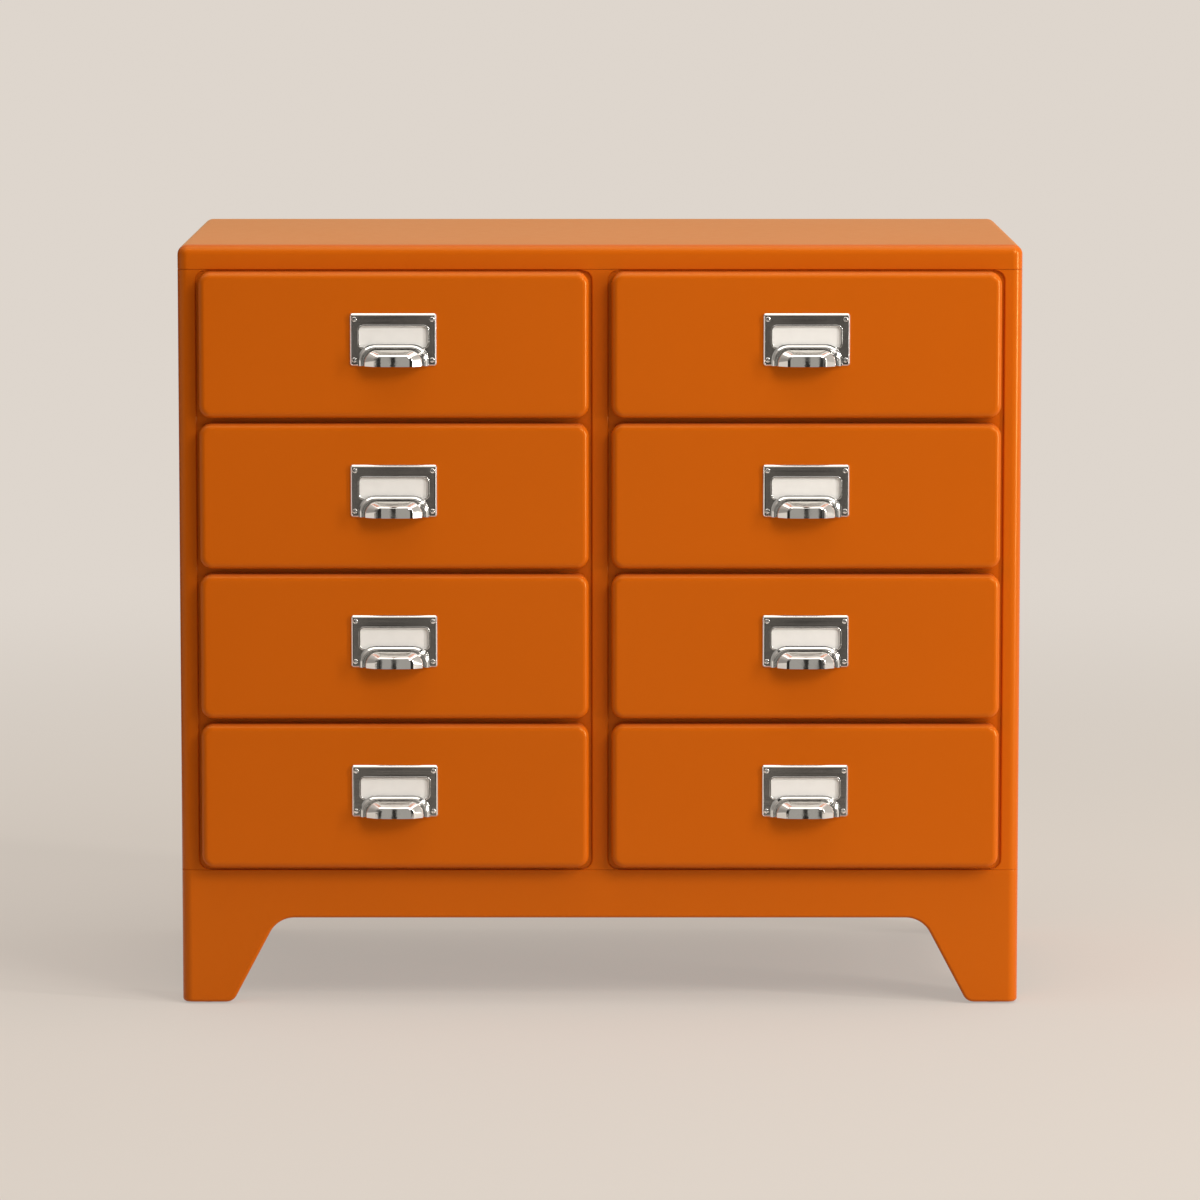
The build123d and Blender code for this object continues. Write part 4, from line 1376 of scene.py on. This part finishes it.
    def lamps(self, studio):
        """Soft lamp at the upper right, tall lamp at the right and soft lamp overhead."""
        self.lamp(
            "key_lamp", (2.7, -3.2, 3.4), (0.0, -0.1, 0.35), (1.8, 1.8), studio.key_power, LAMP_WARM
        )
        self.lamp(
            "strip_lamp", (4.2, -1.9, 1.2), (0.0, -0.2, 0.4), (0.28, 2.6), studio.strip_power, LAMP_WARM
        )
        self.lamp(
            "top_lamp", (0.3, -0.4, 3.0), (0.0, 0.0, 0.4), (2.4, 1.4), studio.top_power, LAMP_WHITE
        )

    def camera(self, scene, studio):
        """Camera at the place of the photo, tilted down a little."""
        camera = bpy.data.cameras.new("photo_camera")
        camera.lens = studio.lens
        camera.sensor_width = 36.0
        camera.clip_start, camera.clip_end = 0.1, 400.0
        holder = bpy.data.objects.new("photo_camera", camera)
        front_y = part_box("leg_base")[0].y
        holder.location = (0.0, front_y - studio.camera_distance, studio.camera_height)
        holder.rotation_euler = (QUARTER - studio.camera_pitch, 0.0, 0.0)
        scene.collection.objects.link(holder)
        scene.camera = holder

    def execute(self, context):
        scene = context.scene
        colours, studio = scene.cabinet_colours, scene.studio_settings
        floor = self.floor_material(colours, studio.near_share)
        ground = self.level((-FLOOR_HALF, -FLOOR_HALF), (FLOOR_HALF, FLOOR_HALF), 0.0)
        self.flat_sheet("studio_floor", ground, floor)
        self.boards(colours)
        self.cards()
        self.world(scene, colours, studio.world_strength)
        self.lamps(studio)
        self.camera(scene, studio)
        scene.view_settings.view_transform = "Standard"
        return {"FINISHED"}


OPERATORS = (
    CABINET_OT_lid,
    CABINET_OT_side_panels,
    CABINET_OT_mullion,
    CABINET_OT_leg_base,
    CABINET_OT_glides,
    CABINET_OT_cross_rails,
    CABINET_OT_inner_sheets,
    CABINET_OT_drawer_fronts,
    CABINET_OT_drawer_boxes,
    CABINET_OT_pull_plates,
    CABINET_OT_pull_cups,
    CABINET_OT_label_cards,
    CABINET_OT_pull_screws,
    CABINET_OT_stage,
)
SETTINGS = {
    "cabinet_sizes": CabinetSizes,
    "pull_sizes": PullSizes,
    "cabinet_colours": CabinetColours,
    "studio_settings": StudioSettings,
}


class CABINET_PT_pieces(bpy.types.Panel):
    """Sizes, colours and makers of the cabinet's pieces"""

    bl_idname = "CABINET_PT_pieces"
    bl_label = "Archive Cabinet"
    bl_space_type = "VIEW_3D"
    bl_region_type = "UI"
    bl_category = "Cabinet"

    def draw(self, context):
        column = self.layout.column()
        for operator in OPERATORS:
            column.operator(operator.bl_idname)
        for name, group in SETTINGS.items():
            column.separator()
            for prop in group.__annotations__:
                column.prop(getattr(context.scene, name), prop)


def register():
    for group in SETTINGS.values():
        bpy.utils.register_class(group)
    for name, group in SETTINGS.items():
        setattr(bpy.types.Scene, name, PointerProperty(type=group))
    for operator in OPERATORS:
        bpy.utils.register_class(operator)
    bpy.utils.register_class(CABINET_PT_pieces)


def unregister():
    bpy.utils.unregister_class(CABINET_PT_pieces)
    for operator in reversed(OPERATORS):
        bpy.utils.unregister_class(operator)
    for name, group in SETTINGS.items():
        delattr(bpy.types.Scene, name)
        bpy.utils.unregister_class(group)


def main():
    register()
    bpy.ops.cabinet.lid()
    bpy.ops.cabinet.side_panels()
    bpy.ops.cabinet.mullion()
    bpy.ops.cabinet.leg_base()
    bpy.ops.cabinet.glides()
    bpy.ops.cabinet.cross_rails()
    bpy.ops.cabinet.inner_sheets()
    bpy.ops.cabinet.drawer_fronts()
    bpy.ops.cabinet.drawer_boxes()
    bpy.ops.cabinet.pull_plates()
    bpy.ops.cabinet.pull_cups()
    bpy.ops.cabinet.label_cards()
    bpy.ops.cabinet.pull_screws()
    bpy.ops.cabinet.stage()


if __name__ == "__main__":
    main()
